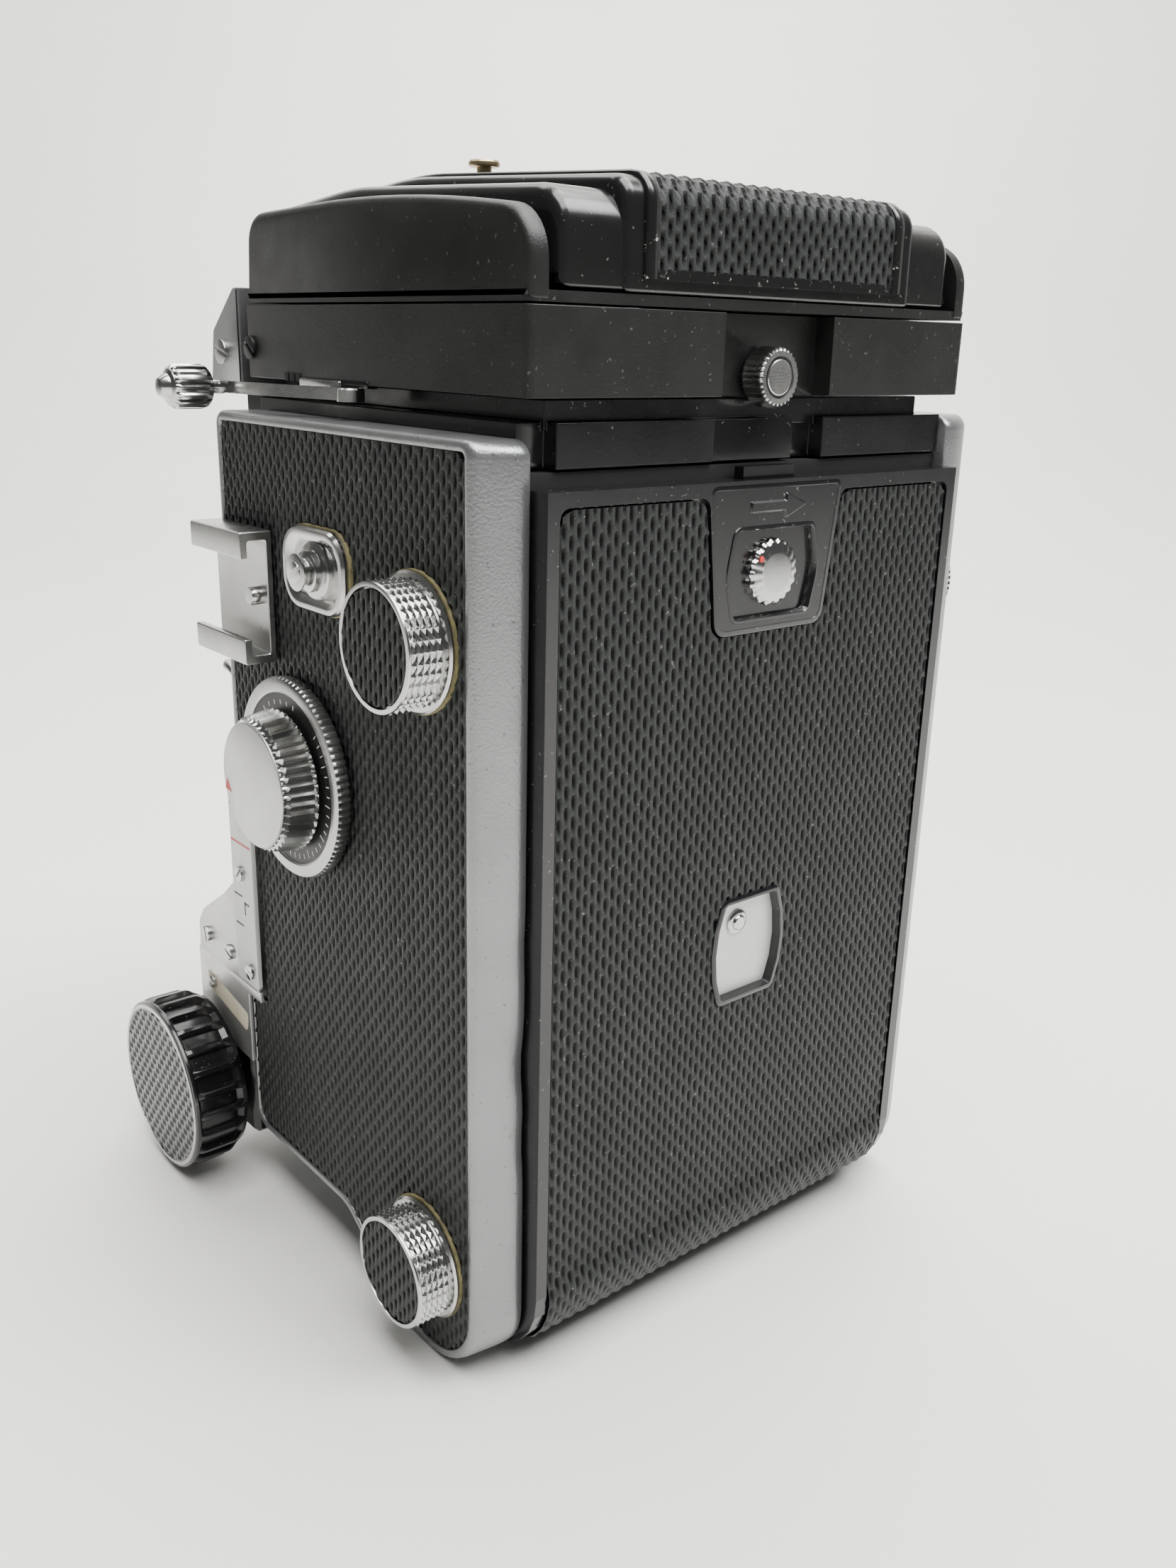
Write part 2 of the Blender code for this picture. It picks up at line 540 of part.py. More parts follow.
def side_plates():
    """Bright plates on the left of the bed, the bracket above them and the distance scale strip."""
    low, high = COVER_OUT + GAP, COVER_OUT + GAP + 0.6
    bed_line = [(-85.7, 25.0), (-66.0, 25.0), (-66.0, 38.6), (-57.6, 38.6), (-57.6, 40.1), (-85.7, 40.1)]
    plates = plate("side_plates", [bed_line], "X", low, high, STEEL)
    bracket_line = rounded([(-84.9, 39.5, 0), (-62.0, 39.5, 0), (-62.0, 47.0, 0), (-68.4, 47.0, 0),
                            (-68.4, 57.8, 0.8), (-73.4, 54.6, 2.0), (-82.6, 48.4, 2.0), (-84.9, 45.0, 1.5)], 3)
    bracket = plate("scale_bracket", [bracket_line], "X", low, high, STEEL)
    scale = plate("distance_scale", [rectangle(-68.7, -61.4, 46.6, 82.0)], "X", low, high - 0.1, STEEL)
    join_all(plates, [bracket, scale])


def focus_drive():
    profile = [(0, 56.0), (2.5, 56.0), (2.5, 35.8), (PINION_R, 35.8), (PINION_R, 31.2), (2.5, 31.2),
               (2.5, -31.2), (PINION_R, -31.2), (PINION_R, -35.8), (2.5, -35.8), (2.5, -56.0), (0, -56.0)]
    shaft = turned("focus_shaft", profile, "X", (0, SHAFT_Y, SHAFT_Z), STEEL, 24)
    knobs = []
    for name, side in (("left_focus_knob", 1), ("right_focus_knob", -1)):
        face = [(0, 59.5), (15.0, 59.5), (FOCUS_KNOB_R, 58.8), (FOCUS_KNOB_R, 51.6),
                (14.0, FOCUS_KNOB_IN), (2.8, FOCUS_KNOB_IN), (2.8, 56.4), (0, 56.4)]
        knobs.append(turned(name, face, "X" if side > 0 else "-X", (0, SHAFT_Y, SHAFT_Z), BLACK, ROUND))
    pivot("focus_axis", (0, SHAFT_Y, SHAFT_Z), shaft, *knobs)


def bellows():
    start = FRONT_Y - GAP - 0.1
    for index in range(FOLD_COUNT):
        rear = start - FOLD_GAP - index * (FOLD_THICK + FOLD_GAP)
        ring = plate(f"bellows_fold_{index + 1}",
                     [rectangle(-36.0, 36.0, 29.5, 132.0, 2.0), rectangle(-31.0, 31.0, 34.0, 129.5, 2.0)],
                     "Y", -rear, FOLD_THICK - rear, CLOTH)
        pivot(f"fold_{index + 1}_slide", (0, rear, 80.0), ring)


def front_standard():
    openings = [rectangle(-24.0, 24.0, 93.5, 130.0, 3.0), rectangle(-29.0, 29.0, 34.0, 90.5, 3.0)]
    standard = plate("front_standard", [rectangle(-38.0, 38.0, 27.4, 133.5, 3.0), *openings], "Y",
                     -STANDARD_REAR, -STANDARD_FRONT, BLACK)
    for side in (-1, 1):
        combine(standard, rod(f"bail_stud_{side}", "X", (side * 39.4, -81.0, 50.0), 0.9, 4.4, BLACK, 12), "UNION")
    rail_line = [(-RAIL_X[1], -86.0), (RAIL_X[1], -86.0), (RAIL_X[1], -29.0), (RAIL_X[0], -29.0),
                 (RAIL_X[0], -83.0), (-RAIL_X[0], -83.0), (-RAIL_X[0], -29.0), (-RAIL_X[1], -29.0)]
    rails = plate("focus_rails", [rail_line], "Z", RAIL_Z[0], RAIL_Z[1], STEEL)
    holes = [circle(0, VIEWING_Z, 15.5, 28), circle(0, TAKING_Z, 17.5, 28)]
    board = plate("lens_board", [rectangle(-37.0, 37.0, 30.0, 132.6, 4.0), *holes], "Y",
                  GAP - STANDARD_FRONT, -BOARD_FRONT, BLACK)
    front = BOARD_FRONT - GAP
    shutter = turned("shutter_housing", [(15.8, front), (15.8, -97.0), (22.0, -97.0), (24.4, -96.0), (24.4, -94.8),
                                         (23.4, -94.6), (23.4, -90.0), (24.4, -89.8), (24.4, front), (15.8, front)],
                     "Y", (0, 0, TAKING_Z), BLACK, ROUND)
    taking = turned("taking_lens_barrel", [(13.0, -98.0), (12.0, TAKING_FRONT + 4), (16.6, TAKING_FRONT),
                                           (19.6, TAKING_FRONT), (20.0, TAKING_FRONT + 0.4), (20.0, -98.6),
                                           (18.6, -97.3), (14.0, -97.3), (13.0, -98.0)],
                    "Y", (0, 0, TAKING_Z), BLACK, ROUND)
    viewing = turned("viewing_lens_barrel", [(13.2, front), (13.2, -98.0), (15.6, -103.4), (18.0, -103.4),
                                             (18.4, -103.0), (18.4, -95.0), (17.2, -93.6), (17.2, front),
                                             (13.2, front)], "Y", (0, 0, VIEWING_Z), BLACK, ROUND)
    taking_glass = turned("taking_lens_glass", [(0, -99.6), (6.0, -99.8), (11.4, -100.4), (11.4, -102.0),
                                                (6.0, -103.6), (0, -104.2)], "Y", (0, 0, TAKING_Z), GLASS, 28)
    viewing_glass = turned("viewing_lens_glass", [(0, -92.0), (12.6, -92.6), (12.6, -94.2), (7.0, -96.2),
                                                  (0, -97.0)], "Y", (0, 0, VIEWING_Z), GLASS, 28)
    ring = turned("shutter_speed_ring", tube_profile(25.6, 23.8, -90.4, -94.4), "Y", (0, 0, TAKING_Z), CHROME, ROUND)
    lever_line = rounded([(24.9, 60.2, 0), (29.5, 60.6, 1.0), (29.5, 63.4, 1.0), (24.9, 63.8, 0)], 3)
    lever = plate("cocking_lever", [lever_line], "Y", 88.0, 89.2, CHROME)
    slides = [standard, rails, board, shutter, taking, viewing, taking_glass, viewing_glass]
    pivot("standard_slide", (0, STANDARD_REAR, 80.0), *slides)
    pivot("taking_axis", (0, -92.4, TAKING_Z), ring, lever)


def lens_board_bail():
    """Wire bail that holds the lens board in: two legs on studs and a bar across between the lenses."""
    leg_x, bar_y, bar_z = 39.3, -88.0, 91.0
    route = [(leg_x, -81.0, 52.5), (leg_x, -81.2, 86.5), (leg_x, -83.5, 90.4), (leg_x, -86.6, bar_z),
             (leg_x - 1.2, bar_y, bar_z)]
    path = route + [(-x, y, z) for x, y, z in reversed(route)]
    bail = wire("lens_board_bail", path, 0.85, STEEL)
    for side in (-1, 1):
        low, high = sorted((side * 38.5, side * 40.1))
        eye = plate(f"bail_eye_{side}", [circle(-81.0, 50.0, 2.8, 20), circle(-81.0, 50.0, 1.3, 16)],
                    "X", low, high, STEEL)
        combine(bail, eye, "UNION")
    pivot("bail_axis", (0, -81.0, 50.0), bail)


def release_button():
    button = turned("shutter_release_button", [(0, 12.6), (1.5, 12.6), (1.5, 4.6), (2.5, 4.6), (2.5, -3.0),
                                               (2.0, -3.6), (0, -3.6)], "Y", (-44.6, -90.0, 32.0), CHROME, 20)
    pivot("release_slide", (-44.6, -90.0, 32.0), button)


# ---------------------------------------------------------------- knobs and dials
def left_knobs():
    for name, z in (("upper_spool_knob", UPPER_SPOOL_Z), ("lower_spool_knob", LOWER_SPOOL_Z)):
        face = 54.1
        profile = [(0, face), (8.1, face), (8.5, face - 0.4), (8.5, 49.8), (8.1, 49.4), (9.6, 48.9), (9.6, 48.0),
                   (SPOOL_PIN_R, 48.0), (SPOOL_PIN_R, 30.0), (0, 30.0)]
        knob = turned(name, profile, "X", (0, SPOOL_Y, z), CHROME, 32)
        pivot(f"{name}_axis", (48.0, SPOOL_Y, z), knob)
    ring = turned("film_reminder_ring", [(2.2, 48.0), (2.2, 50.6), (14.6, 50.6), (15.4, 50.2), (15.4, 48.6),
                                         (14.9, 48.0), (2.2, 48.0)], "X", (0, DIAL_Y, DIAL_Z), CHROME, ROUND)
    lock = turned("lens_lock_knob", [(0, 56.2), (9.2, 56.2), (9.6, 55.8), (10.6, 50.9), (1.8, 50.9), (1.8, 44.5),
                                     (0, 44.5)], "X", (0, DIAL_Y, DIAL_Z), CHROME, 36)
    pivot("dial_axis", (48.0, DIAL_Y, DIAL_Z), ring, lock)


def wind_side():
    """Right side: winding crank on the take-up axis with a folding grip, and the frame counter."""
    hub = turned("wind_crank", [(0, 53.6), (8.4, 53.6), (8.9, 53.2), (8.9, 49.0), (10.5, 48.8), (10.5, 48.0),
                                (SPOOL_PIN_R, 48.0), (SPOOL_PIN_R, 30.0), (0, 30.0)], "-X",
                 (0, SPOOL_Y, UPPER_SPOOL_Z), CHROME, 32)
    arm_line = rounded([(SPOOL_Y - 4.2, UPPER_SPOOL_Z + 4, 2), (SPOOL_Y + 4.2, UPPER_SPOOL_Z + 4, 2),
                        (SPOOL_Y + 3.4, 83.2, 3.3), (SPOOL_Y - 3.4, 83.2, 3.3)], 4)
    arm = plate("crank_arm", [arm_line], "X", -53.6, -52.0, CHROME)
    combine(hub, arm, "UNION")
    grip = turned("crank_grip", [(0, 9.5), (2.0, 9.5), (2.4, 9.0), (2.0, -6.0), (1.4, -8.0), (0, -8.0)], "Z",
                  (-56.5, SPOOL_Y, 95.0), BLACK, 16)
    pivot("wind_axis", (-48.0, SPOOL_Y, UPPER_SPOOL_Z), hub)
    pivot("grip_axis", (-56.5, SPOOL_Y, 87.0), grip)
    disc = turned("counter_disc", [(0, 47.4), (6.1, 47.4), (6.1, 46.4), (0, 46.4)], "-X",
                  (0, COUNTER_Y, COUNTER_Z), MATT, 24)
    pivot("counter_axis", (-47.0, COUNTER_Y, COUNTER_Z), disc)


# ---------------------------------------------------------------- finder
def front_brow():
    section = rounded([(-70.8, 137.7, 0), (-81.8, 137.7, 0.8), (-80.3, 147.2, 1.0), (-72.9, 153.2, 0.8),
                       (-70.8, 153.2, 0)], 3)
    brow = plate("front_brow", [section], "X", -41.4, 41.4, SILVER)
    tail = box("brow_tail", (-39.0, -74.0, 134.8), (39.0, FRONT_Y - GAP, 138.4), BLACK)
    combine(brow, tail, "UNION")


def finder_base():
    base = plate("finder_base", [rectangle(-BASE_HALF, BASE_HALF, BASE_FRONT, BASE_REAR, 1.0),
                                 rectangle(-31.0, 31.0, -64.0, -7.0, 2.0)], "Z", BASE_BOTTOM, BASE_TOP, MATT,
                 bevel=0.4)
    combine(base, box("cut_rear_recess", (-11.4, -0.9, 130), (9.6, 6, 160), MATT))
    combine(base, rod("cut_screw_bore", "Y", (0, -3.0, 142.8), 1.8, 10, MATT, 16))
    screw = turned("finder_thumbscrew", [(0, 3.5), (3.5, 3.5), (3.95, 3.1), (3.95, 0.2), (3.4, -0.5), (1.4, -0.5),
                                         (1.4, -6.0), (0, -6.0)], "Y", (0, 0, 142.8), CHROME, 28)
    pivot("screw_axis", (0, 3.5, 142.8), screw)


def side_lever():
    """Chrome strip that lies between the finder and the left cover, with a fluted knob on its tip."""
    strip = [(41.8, -37.0), (43.5, -43.4), (45.4, -48.6), (46.9, -55.0), (47.9, -65.6)]
    width = 0.6
    edge = [Vector(point) for point in strip]
    line = [point + Vector((width, 0.2)) for point in edge] + [point - Vector((width, 0.2)) for point in reversed(edge)]
    lever = plate("finder_side_lever", [line], "Z", 138.0, 139.9, CHROME)
    hub = rod("lever_hub", "Z", (41.8, -37.0, 138.9), 1.9, 1.8, CHROME, 16)
    stem = turned("lever_stem", [(0, 57.6), (1.3, 57.4), (1.6, 56.2), (2.8, 55.9), (3.2, 55.3), (3.2, 50.3),
                                 (2.8, 49.9), (1.0, 49.9), (1.0, 47.5), (0, 47.5)], "X", (0, -65.0, 139.0), CHROME, 24)
    join_all(lever, [hub, stem])
    pivot("lever_axis", (41.8, -37.0, 138.9), lever)


def hood():
    """Folded hood: frame with rounded cheeks, the lid, three leaves below it and the magnifier."""
    frame = plate("hood_frame", [rectangle(-41.2, 41.2, -68.2, 2.2, 1.0), rectangle(-31.5, 31.5, -63.5, -6.0, 2.0)],
                  "Z", HOOD_Z, HOOD_Z + 1.3, MATT)
    cheek = rounded([(-68.2, HOOD_Z + 0.6, 0), (-67.0, 163.4, 3.0), (-20.0, 163.4, 40.0), (2.2, 161.6, 5.0),
                     (2.4, HOOD_Z + 0.6, 0)], 5)
    for side in (-1, 1):
        low, high = sorted((side * 38.4, side * 41.2))
        body = plate(f"hood_cheek_{side}", [cheek], "X", low, high, MATT)
        combine(frame, body, "UNION")

    lid_line = rounded([(-66.6, 153.4, 0), (-66.4, 165.6, 3.0), (-45.0, 167.8, 60.0), (2.3, 165.2, 3.0),
                        (2.5, 152.7, 0), (-60.0, 152.7, 0), (-60.6, 153.4, 0)], 5)
    lid = plate("hood_lid", [lid_line], "X", -27.4, 27.4, BLACK)
    shoulder = rounded([(-66.4, 153.4, 0), (-66.0, 164.2, 4.0), (-45.0, 166.0, 50.0), (1.9, 163.6, 5.0),
                        (2.0, 152.7, 0), (-60.0, 152.7, 0), (-60.6, 153.4, 0)], 5)
    combine(lid, plate("lid_shoulders", [shoulder], "X", -36.6, 36.6, BLACK), "UNION")
    combine(lid, box("cut_lid_hollow", (-35.2, -64.9, 140), (35.2, 0.4, 162.4), BLACK))
    combine(lid, rod("cut_button_bore", "Z", (3.0, -60.0, 165), 1.6, 12, BLACK, 16))
    button = turned("hood_button", [(0, 173.6), (2.5, 173.6), (2.6, 172.8), (1.25, 172.6), (1.25, 162.0),
                                    (2.4, 162.0), (2.4, 160.8), (0, 160.8)], "Z", (3.0, -60.0, 0), BRASS, 20)
    pivot("lid_axis", (0, LID_HINGE_Y, LID_HINGE_Z), lid)
    pivot("button_slide", (3.0, -60.0, 170.0), button)

    leaf_low, leaf_high = 153.1, 153.6
    for name, side in (("left_hood_leaf", 1), ("right_hood_leaf", -1)):
        hinge, tip = side * LEAF_HINGE_X, side * (LEAF_HINGE_X - LEAF_REACH)
        leaf = plate(name, [[(hinge, -60.5), (tip, -50.5), (tip, -38.5), (hinge, -5.5)]], "Z",
                     leaf_low, leaf_high, MATT)
        pivot(f"{name}_axis", (hinge, 0, 153.35), leaf)
    rear = plate("rear_hood_leaf", [[(-33.0, -2.6), (33.0, -2.6), (33.0, -2.6 - LEAF_REACH * 0.3),
                                     (20.0, -2.6 - LEAF_REACH), (-20.0, -2.6 - LEAF_REACH),
                                     (-33.0, -2.6 - LEAF_REACH * 0.3)]], "Z", 154.1, 154.6, MATT)
    pivot("rear_leaf_axis", (0, -2.6, 154.35), rear)

    ring_y, arm_y = -16.0, -29.5
    holder = plate("magnifier", [circle(0, ring_y, 13.4, 32)], "Z", 159.0, 160.6, MATT)
    arm = box("magnifier_arm", (-5.0, arm_y - 1.0, 159.2), (5.0, ring_y - 11.8, 160.4), MATT)
    combine(holder, arm, "UNION")
    pivot("magnifier_axis", (0, arm_y, 159.8), holder)


def assemble():
    main_casting()
    top_deck()
    sides()
    tripod_base()
    accessory_shoe()
    strap_lugs()
    mirror_and_screen()
    light_baffle()
    spool("supply_spool", LOWER_SPOOL_Z)
    spool("take_up_spool", UPPER_SPOOL_Z)
    back_door()
    focus_bed()
    side_plates()
    focus_drive()
    bellows()
    front_standard()
    lens_board_bail()
    release_button()
    left_knobs()
    wind_side()
    front_brow()
    finder_base()
    side_lever()
    hood()


assemble()
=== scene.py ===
"""Looks of the twin lens reflex camera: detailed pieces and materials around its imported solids.

Lengths are millimetres from the same datum as the solids: x from the middle plane, y from the plane
of the side covers' rear rims, z from the surface that the camera stands on. +X is the camera's left.
"""
import json
import math

import bmesh
import bpy
from mathutils import Matrix, Vector
from mathutils.geometry import intersect_line_line_2d

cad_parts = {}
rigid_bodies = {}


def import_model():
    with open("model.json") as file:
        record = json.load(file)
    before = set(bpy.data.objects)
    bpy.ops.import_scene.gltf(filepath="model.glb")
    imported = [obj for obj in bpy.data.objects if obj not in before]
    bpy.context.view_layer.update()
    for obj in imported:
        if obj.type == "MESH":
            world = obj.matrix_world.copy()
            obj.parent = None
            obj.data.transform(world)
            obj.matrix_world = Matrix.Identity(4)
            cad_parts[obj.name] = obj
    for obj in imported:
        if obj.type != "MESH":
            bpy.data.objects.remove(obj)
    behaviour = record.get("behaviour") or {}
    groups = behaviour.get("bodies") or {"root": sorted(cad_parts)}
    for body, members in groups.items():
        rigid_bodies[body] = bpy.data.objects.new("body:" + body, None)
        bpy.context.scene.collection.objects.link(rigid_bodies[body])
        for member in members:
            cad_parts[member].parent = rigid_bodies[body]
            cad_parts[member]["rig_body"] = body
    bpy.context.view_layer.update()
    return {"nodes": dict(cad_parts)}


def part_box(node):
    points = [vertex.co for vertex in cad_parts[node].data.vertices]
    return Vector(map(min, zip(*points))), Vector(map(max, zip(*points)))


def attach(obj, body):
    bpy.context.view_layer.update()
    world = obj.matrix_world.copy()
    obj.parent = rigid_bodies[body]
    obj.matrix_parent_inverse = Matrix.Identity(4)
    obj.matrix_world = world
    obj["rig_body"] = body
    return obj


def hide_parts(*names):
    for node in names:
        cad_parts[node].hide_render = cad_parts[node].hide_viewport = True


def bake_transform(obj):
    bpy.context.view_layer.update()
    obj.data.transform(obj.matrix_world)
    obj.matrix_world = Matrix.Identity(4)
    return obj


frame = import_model()

MM = 0.001
SCENE = bpy.context.scene
REAR_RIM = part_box("left_side_cover")[1].y


def low(node):
    """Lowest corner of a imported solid, in datum millimetres."""
    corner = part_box(node)[0]
    return Vector((corner.x, corner.y - REAR_RIM, corner.z)) / MM


def high(node):
    """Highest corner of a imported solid, in datum millimetres."""
    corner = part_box(node)[1]
    return Vector((corner.x, corner.y - REAR_RIM, corner.z)) / MM


def middle(node):
    return (low(node) + high(node)) / 2


def world(x, y, z):
    return Vector((x * MM, y * MM + REAR_RIM, z * MM))


# ---------------------------------------------------------------- driving sizes, read from the frame
COVER_OUT = high("left_side_cover").x
COVER_IN = low("left_side_cover").x
LEFT_TOP = high("left_side_cover").z
RIGHT_TOP = high("right_side_cover").z
COVER_FRONT = low("left_side_cover").y
PANEL_BOTTOM = 11.7
DOOR_Y = high("back_door").y
BASE_HALF = high("finder_base").x
KNOB_Y = middle("upper_spool_knob").y
UPPER_Z, LOWER_Z = middle("upper_spool_knob").z, middle("lower_spool_knob").z
DIAL_Y, DIAL_Z = middle("film_reminder_ring").y, middle("film_reminder_ring").z
FOCUS_Y, FOCUS_Z = middle("left_focus_knob").y, middle("left_focus_knob").z
FOCUS_OUT, FOCUS_IN = high("left_focus_knob").x, low("left_focus_knob").x
FOCUS_R = (high("left_focus_knob").z - low("left_focus_knob").z) / 2
LOCK_Z = middle("door_lock_dial").z
LOCK_R = (high("door_lock_dial").x - low("door_lock_dial").x) / 2
SCREW_Z = middle("finder_thumbscrew").z
TAKING_Z = middle("taking_lens_barrel").z
VIEWING_Z = middle("viewing_lens_barrel").z
WINDOW_Z = 60.2
COUNTER = (middle("counter_disc").y, middle("counter_disc").z)
SEAT = COVER_OUT + 0.3


# ---------------------------------------------------------------- materials
def nodes_of(name):
    mat = bpy.data.materials.new(name)
    mat.use_nodes = True
    tree = mat.node_tree
    return mat, tree, tree.nodes["Principled BSDF"]


def noise_node(tree, scale, detail=4.0, rough=0.55, stretch=(1, 1, 1)):
    """A noise texture in object space; scale is in features for each metre."""
    place = tree.nodes.new("ShaderNodeTexCoord")
    mapping = tree.nodes.new("ShaderNodeMapping")
    mapping.inputs["Scale"].default_value = stretch
    texture = tree.nodes.new("ShaderNodeTexNoise")
    texture.inputs["Scale"].default_value = scale
    texture.inputs["Detail"].default_value = detail
    texture.inputs["Roughness"].default_value = rough
    tree.links.new(place.outputs["Object"], mapping.inputs["Vector"])
    tree.links.new(mapping.outputs["Vector"], texture.inputs["Vector"])
    return texture.outputs["Fac"]


def ranged(tree, value, from_low, from_high, to_low, to_high):
    node = tree.nodes.new("ShaderNodeMapRange")
    node.inputs["From Min"].default_value = from_low
    node.inputs["From Max"].default_value = from_high
    node.inputs["To Min"].default_value = to_low
    node.inputs["To Max"].default_value = to_high
    tree.links.new(value, node.inputs["Value"])
    return node.outputs["Result"]


def mixed(tree, factor, first, second):
    """Colour mix; each of first and second is a colour or another node's output."""
    node = tree.nodes.new("ShaderNodeMix")
    node.data_type = "RGBA"
    tree.links.new(factor, node.inputs["Factor"])
    for socket, value in ((node.inputs[6], first), (node.inputs[7], second)):
        if isinstance(value, tuple):
            socket.default_value = (*value, 1.0)
        else:
            tree.links.new(value, socket)
    return node.outputs[2]


def surface(name, colour, roughness, metallic=0.0, mottle=0.12, mottle_scale=60.0, grain=900.0,
            grain_depth=0.00002, rough_swing=0.08, coat=0.0, stain=None, specks=None, brushed=None,
            specular=0.5):
    """Paint, metal or plastic with colour drift, uneven gloss, fine grain, and optional stains and specks."""
    mat, tree, shader = nodes_of(name)
    shader.inputs["Metallic"].default_value = metallic
    shader.inputs["Specular IOR Level"].default_value = specular
    shader.inputs["Coat Weight"].default_value = coat
    shader.inputs["Coat Roughness"].default_value = 0.12
    drift = ranged(tree, noise_node(tree, mottle_scale, 5.0), 0.3, 0.7, 0.0, 1.0)
    dark = tuple(c * (1 - mottle) for c in colour)
    light = tuple(min(1.0, c * (1 + mottle)) for c in colour)
    base = mixed(tree, drift, dark, light)
    if stain:
        stain_colour, share = stain
        blot = ranged(tree, noise_node(tree, 34.0, 8.0, 0.7), 0.60, 0.72, 0.0, share)
        base = mixed(tree, blot, base, stain_colour)
    if specks:
        speck_colour, share = specks
        dots = ranged(tree, noise_node(tree, 1400.0, 2.0, 0.5), 0.70, 0.74, 0.0, share)
        base = mixed(tree, dots, base, speck_colour)
    tree.links.new(base, shader.inputs["Base Color"])
    gloss = noise_node(tree, 130.0, 6.0, 0.6)
    tree.links.new(ranged(tree, gloss, 0.3, 0.7, roughness - rough_swing, roughness + rough_swing),
                   shader.inputs["Roughness"])
    bump = tree.nodes.new("ShaderNodeBump")
    bump.inputs["Distance"].default_value = grain_depth
    stretch = brushed if brushed else (1, 1, 1)
    tree.links.new(noise_node(tree, grain, 3.0, 0.5, stretch), bump.inputs["Height"])
    tree.links.new(bump.outputs["Normal"], shader.inputs["Normal"])
    return mat


def worn(mat, metal):
    """Bare metal showing in small broken patches along convex edges of a painted piece."""
    tree = mat.node_tree
    shader = tree.nodes["Principled BSDF"]
    painted = shader.inputs["Base Color"].links[0].from_socket
    geometry = tree.nodes.new("ShaderNodeNewGeometry")
    edge = ranged(tree, geometry.outputs["Pointiness"], 0.57, 0.63, 0.0, 1.0)
    patches = ranged(tree, noise_node(tree, 420.0, 7.0, 0.7), 0.60, 0.63, 0.0, 1.0)
    both = tree.nodes.new("ShaderNodeMath")
    both.operation = "MULTIPLY"
    tree.links.new(edge, both.inputs[0])
    tree.links.new(patches, both.inputs[1])
    tree.links.new(mixed(tree, both.outputs[0], painted, metal), shader.inputs["Base Color"])
    return mat


def painted_hollow_shade(mat, dark):
    """The hollows of a pressed skin given a darker colour: painted shade in the concave slots."""
    tree = mat.node_tree
    shader = tree.nodes["Principled BSDF"]
    skin = shader.inputs["Base Color"].links[0].from_socket
    geometry = tree.nodes.new("ShaderNodeNewGeometry")
    # Concave places take the dark colour as painted shade; raised places keep the skin's colour.
    proud = ranged(tree, geometry.outputs["Pointiness"], 0.46, 0.53, 0.0, 1.0)
    tree.links.new(mixed(tree, proud, dark, skin), shader.inputs["Base Color"])
    return mat


def glass(name, tint, roughness=0.02):
    mat, tree, shader = nodes_of(name)
    shader.inputs["Transmission Weight"].default_value = 1.0
    shader.inputs["IOR"].default_value = 1.5
    shader.inputs["Coat Weight"].default_value = 0.6
    shader.inputs["Coat Tint"].default_value = (*tint, 1.0)
    drift = ranged(tree, noise_node(tree, 90.0), 0.3, 0.7, 0.0, 1.0)
    tree.links.new(mixed(tree, drift, tuple(0.9 * c for c in tint), tint), shader.inputs["Base Color"])
    smear = ranged(tree, noise_node(tree, 200.0, 6.0), 0.4, 0.8, roughness, roughness + 0.04)
    tree.links.new(smear, shader.inputs["Roughness"])
    return mat


SILVER = surface("silver_paint", (0.245, 0.25, 0.255), 0.34, 0.75, 0.07, 45.0, 2600.0, 0.00005, 0.07,
                 stain=((0.22, 0.22, 0.22), 0.15), specks=((0.08, 0.08, 0.08), 0.6))
GLOSS = surface("black_enamel", (0.007, 0.007, 0.008), 0.19, 0.0, 0.2, 40.0, 1500.0, 0.000006, 0.05, coat=0.2,
                specks=((0.16, 0.16, 0.15), 0.6))
LID_BLACK = worn(surface("lid_enamel", (0.008, 0.008, 0.008), 0.22, 0.0, 0.2, 40.0, 1500.0, 0.000008, 0.05,
                         coat=0.2, specks=((0.16, 0.16, 0.15), 0.6)), (0.55, 0.54, 0.50))
MATT = surface("matt_black", (0.010, 0.010, 0.010), 0.40, 0.0, 0.2, 50.0, 3200.0, 0.00003, 0.06,
               specular=0.36, specks=((0.12, 0.12, 0.11), 0.5))
INNER = surface("inner_black", (0.014, 0.014, 0.014), 0.7, 0.0, 0.2, 70.0, 1800.0, 0.00003)
# Leatherette whose slot hollows carry painted shade in a near-black colour.
HIDE = painted_hollow_shade(surface("leatherette", (0.030, 0.033, 0.032), 0.44, 0.0, 0.12, 90.0, 5200.0, 0.00006, 0.06,
                        specular=0.20, specks=((0.22, 0.22, 0.21), 0.55)), (0.0015, 0.0015, 0.0015))
CHROME = surface("chrome", (0.50, 0.50, 0.49), 0.20, 1.0, 0.05, 80.0, 900.0, 0.000008, 0.06,
                 stain=((0.42, 0.36, 0.22), 0.35))
STEEL = surface("bright_steel", (0.46, 0.46, 0.45), 0.30, 1.0, 0.06, 60.0, 700.0, 0.00001, 0.08,
                stain=((0.30, 0.27, 0.20), 0.5), brushed=(1, 1, 9))
ALUMINIUM = surface("aluminium", (0.50, 0.50, 0.49), 0.34, 0.85, 0.06, 70.0, 1500.0, 0.00002, 0.08,
                    stain=((0.40, 0.36, 0.26), 0.4))
PLATE = surface("plate_grey", (0.60, 0.61, 0.59), 0.45, 0.35, 0.05, 90.0, 2400.0, 0.00002, 0.05,
                stain=((0.45, 0.42, 0.30), 0.3), specks=((0.2, 0.2, 0.18), 0.5))
BRASS = surface("brass", (0.42, 0.33, 0.20), 0.36, 1.0, 0.2, 300.0, 1500.0, 0.00002, 0.1,
                stain=((0.20, 0.14, 0.08), 0.6))
CREAM = surface("cream_paint", (0.60, 0.55, 0.42), 0.6, 0.0, 0.12, 200.0, 1500.0, 0.00003,
                stain=((0.35, 0.29, 0.18), 0.5))
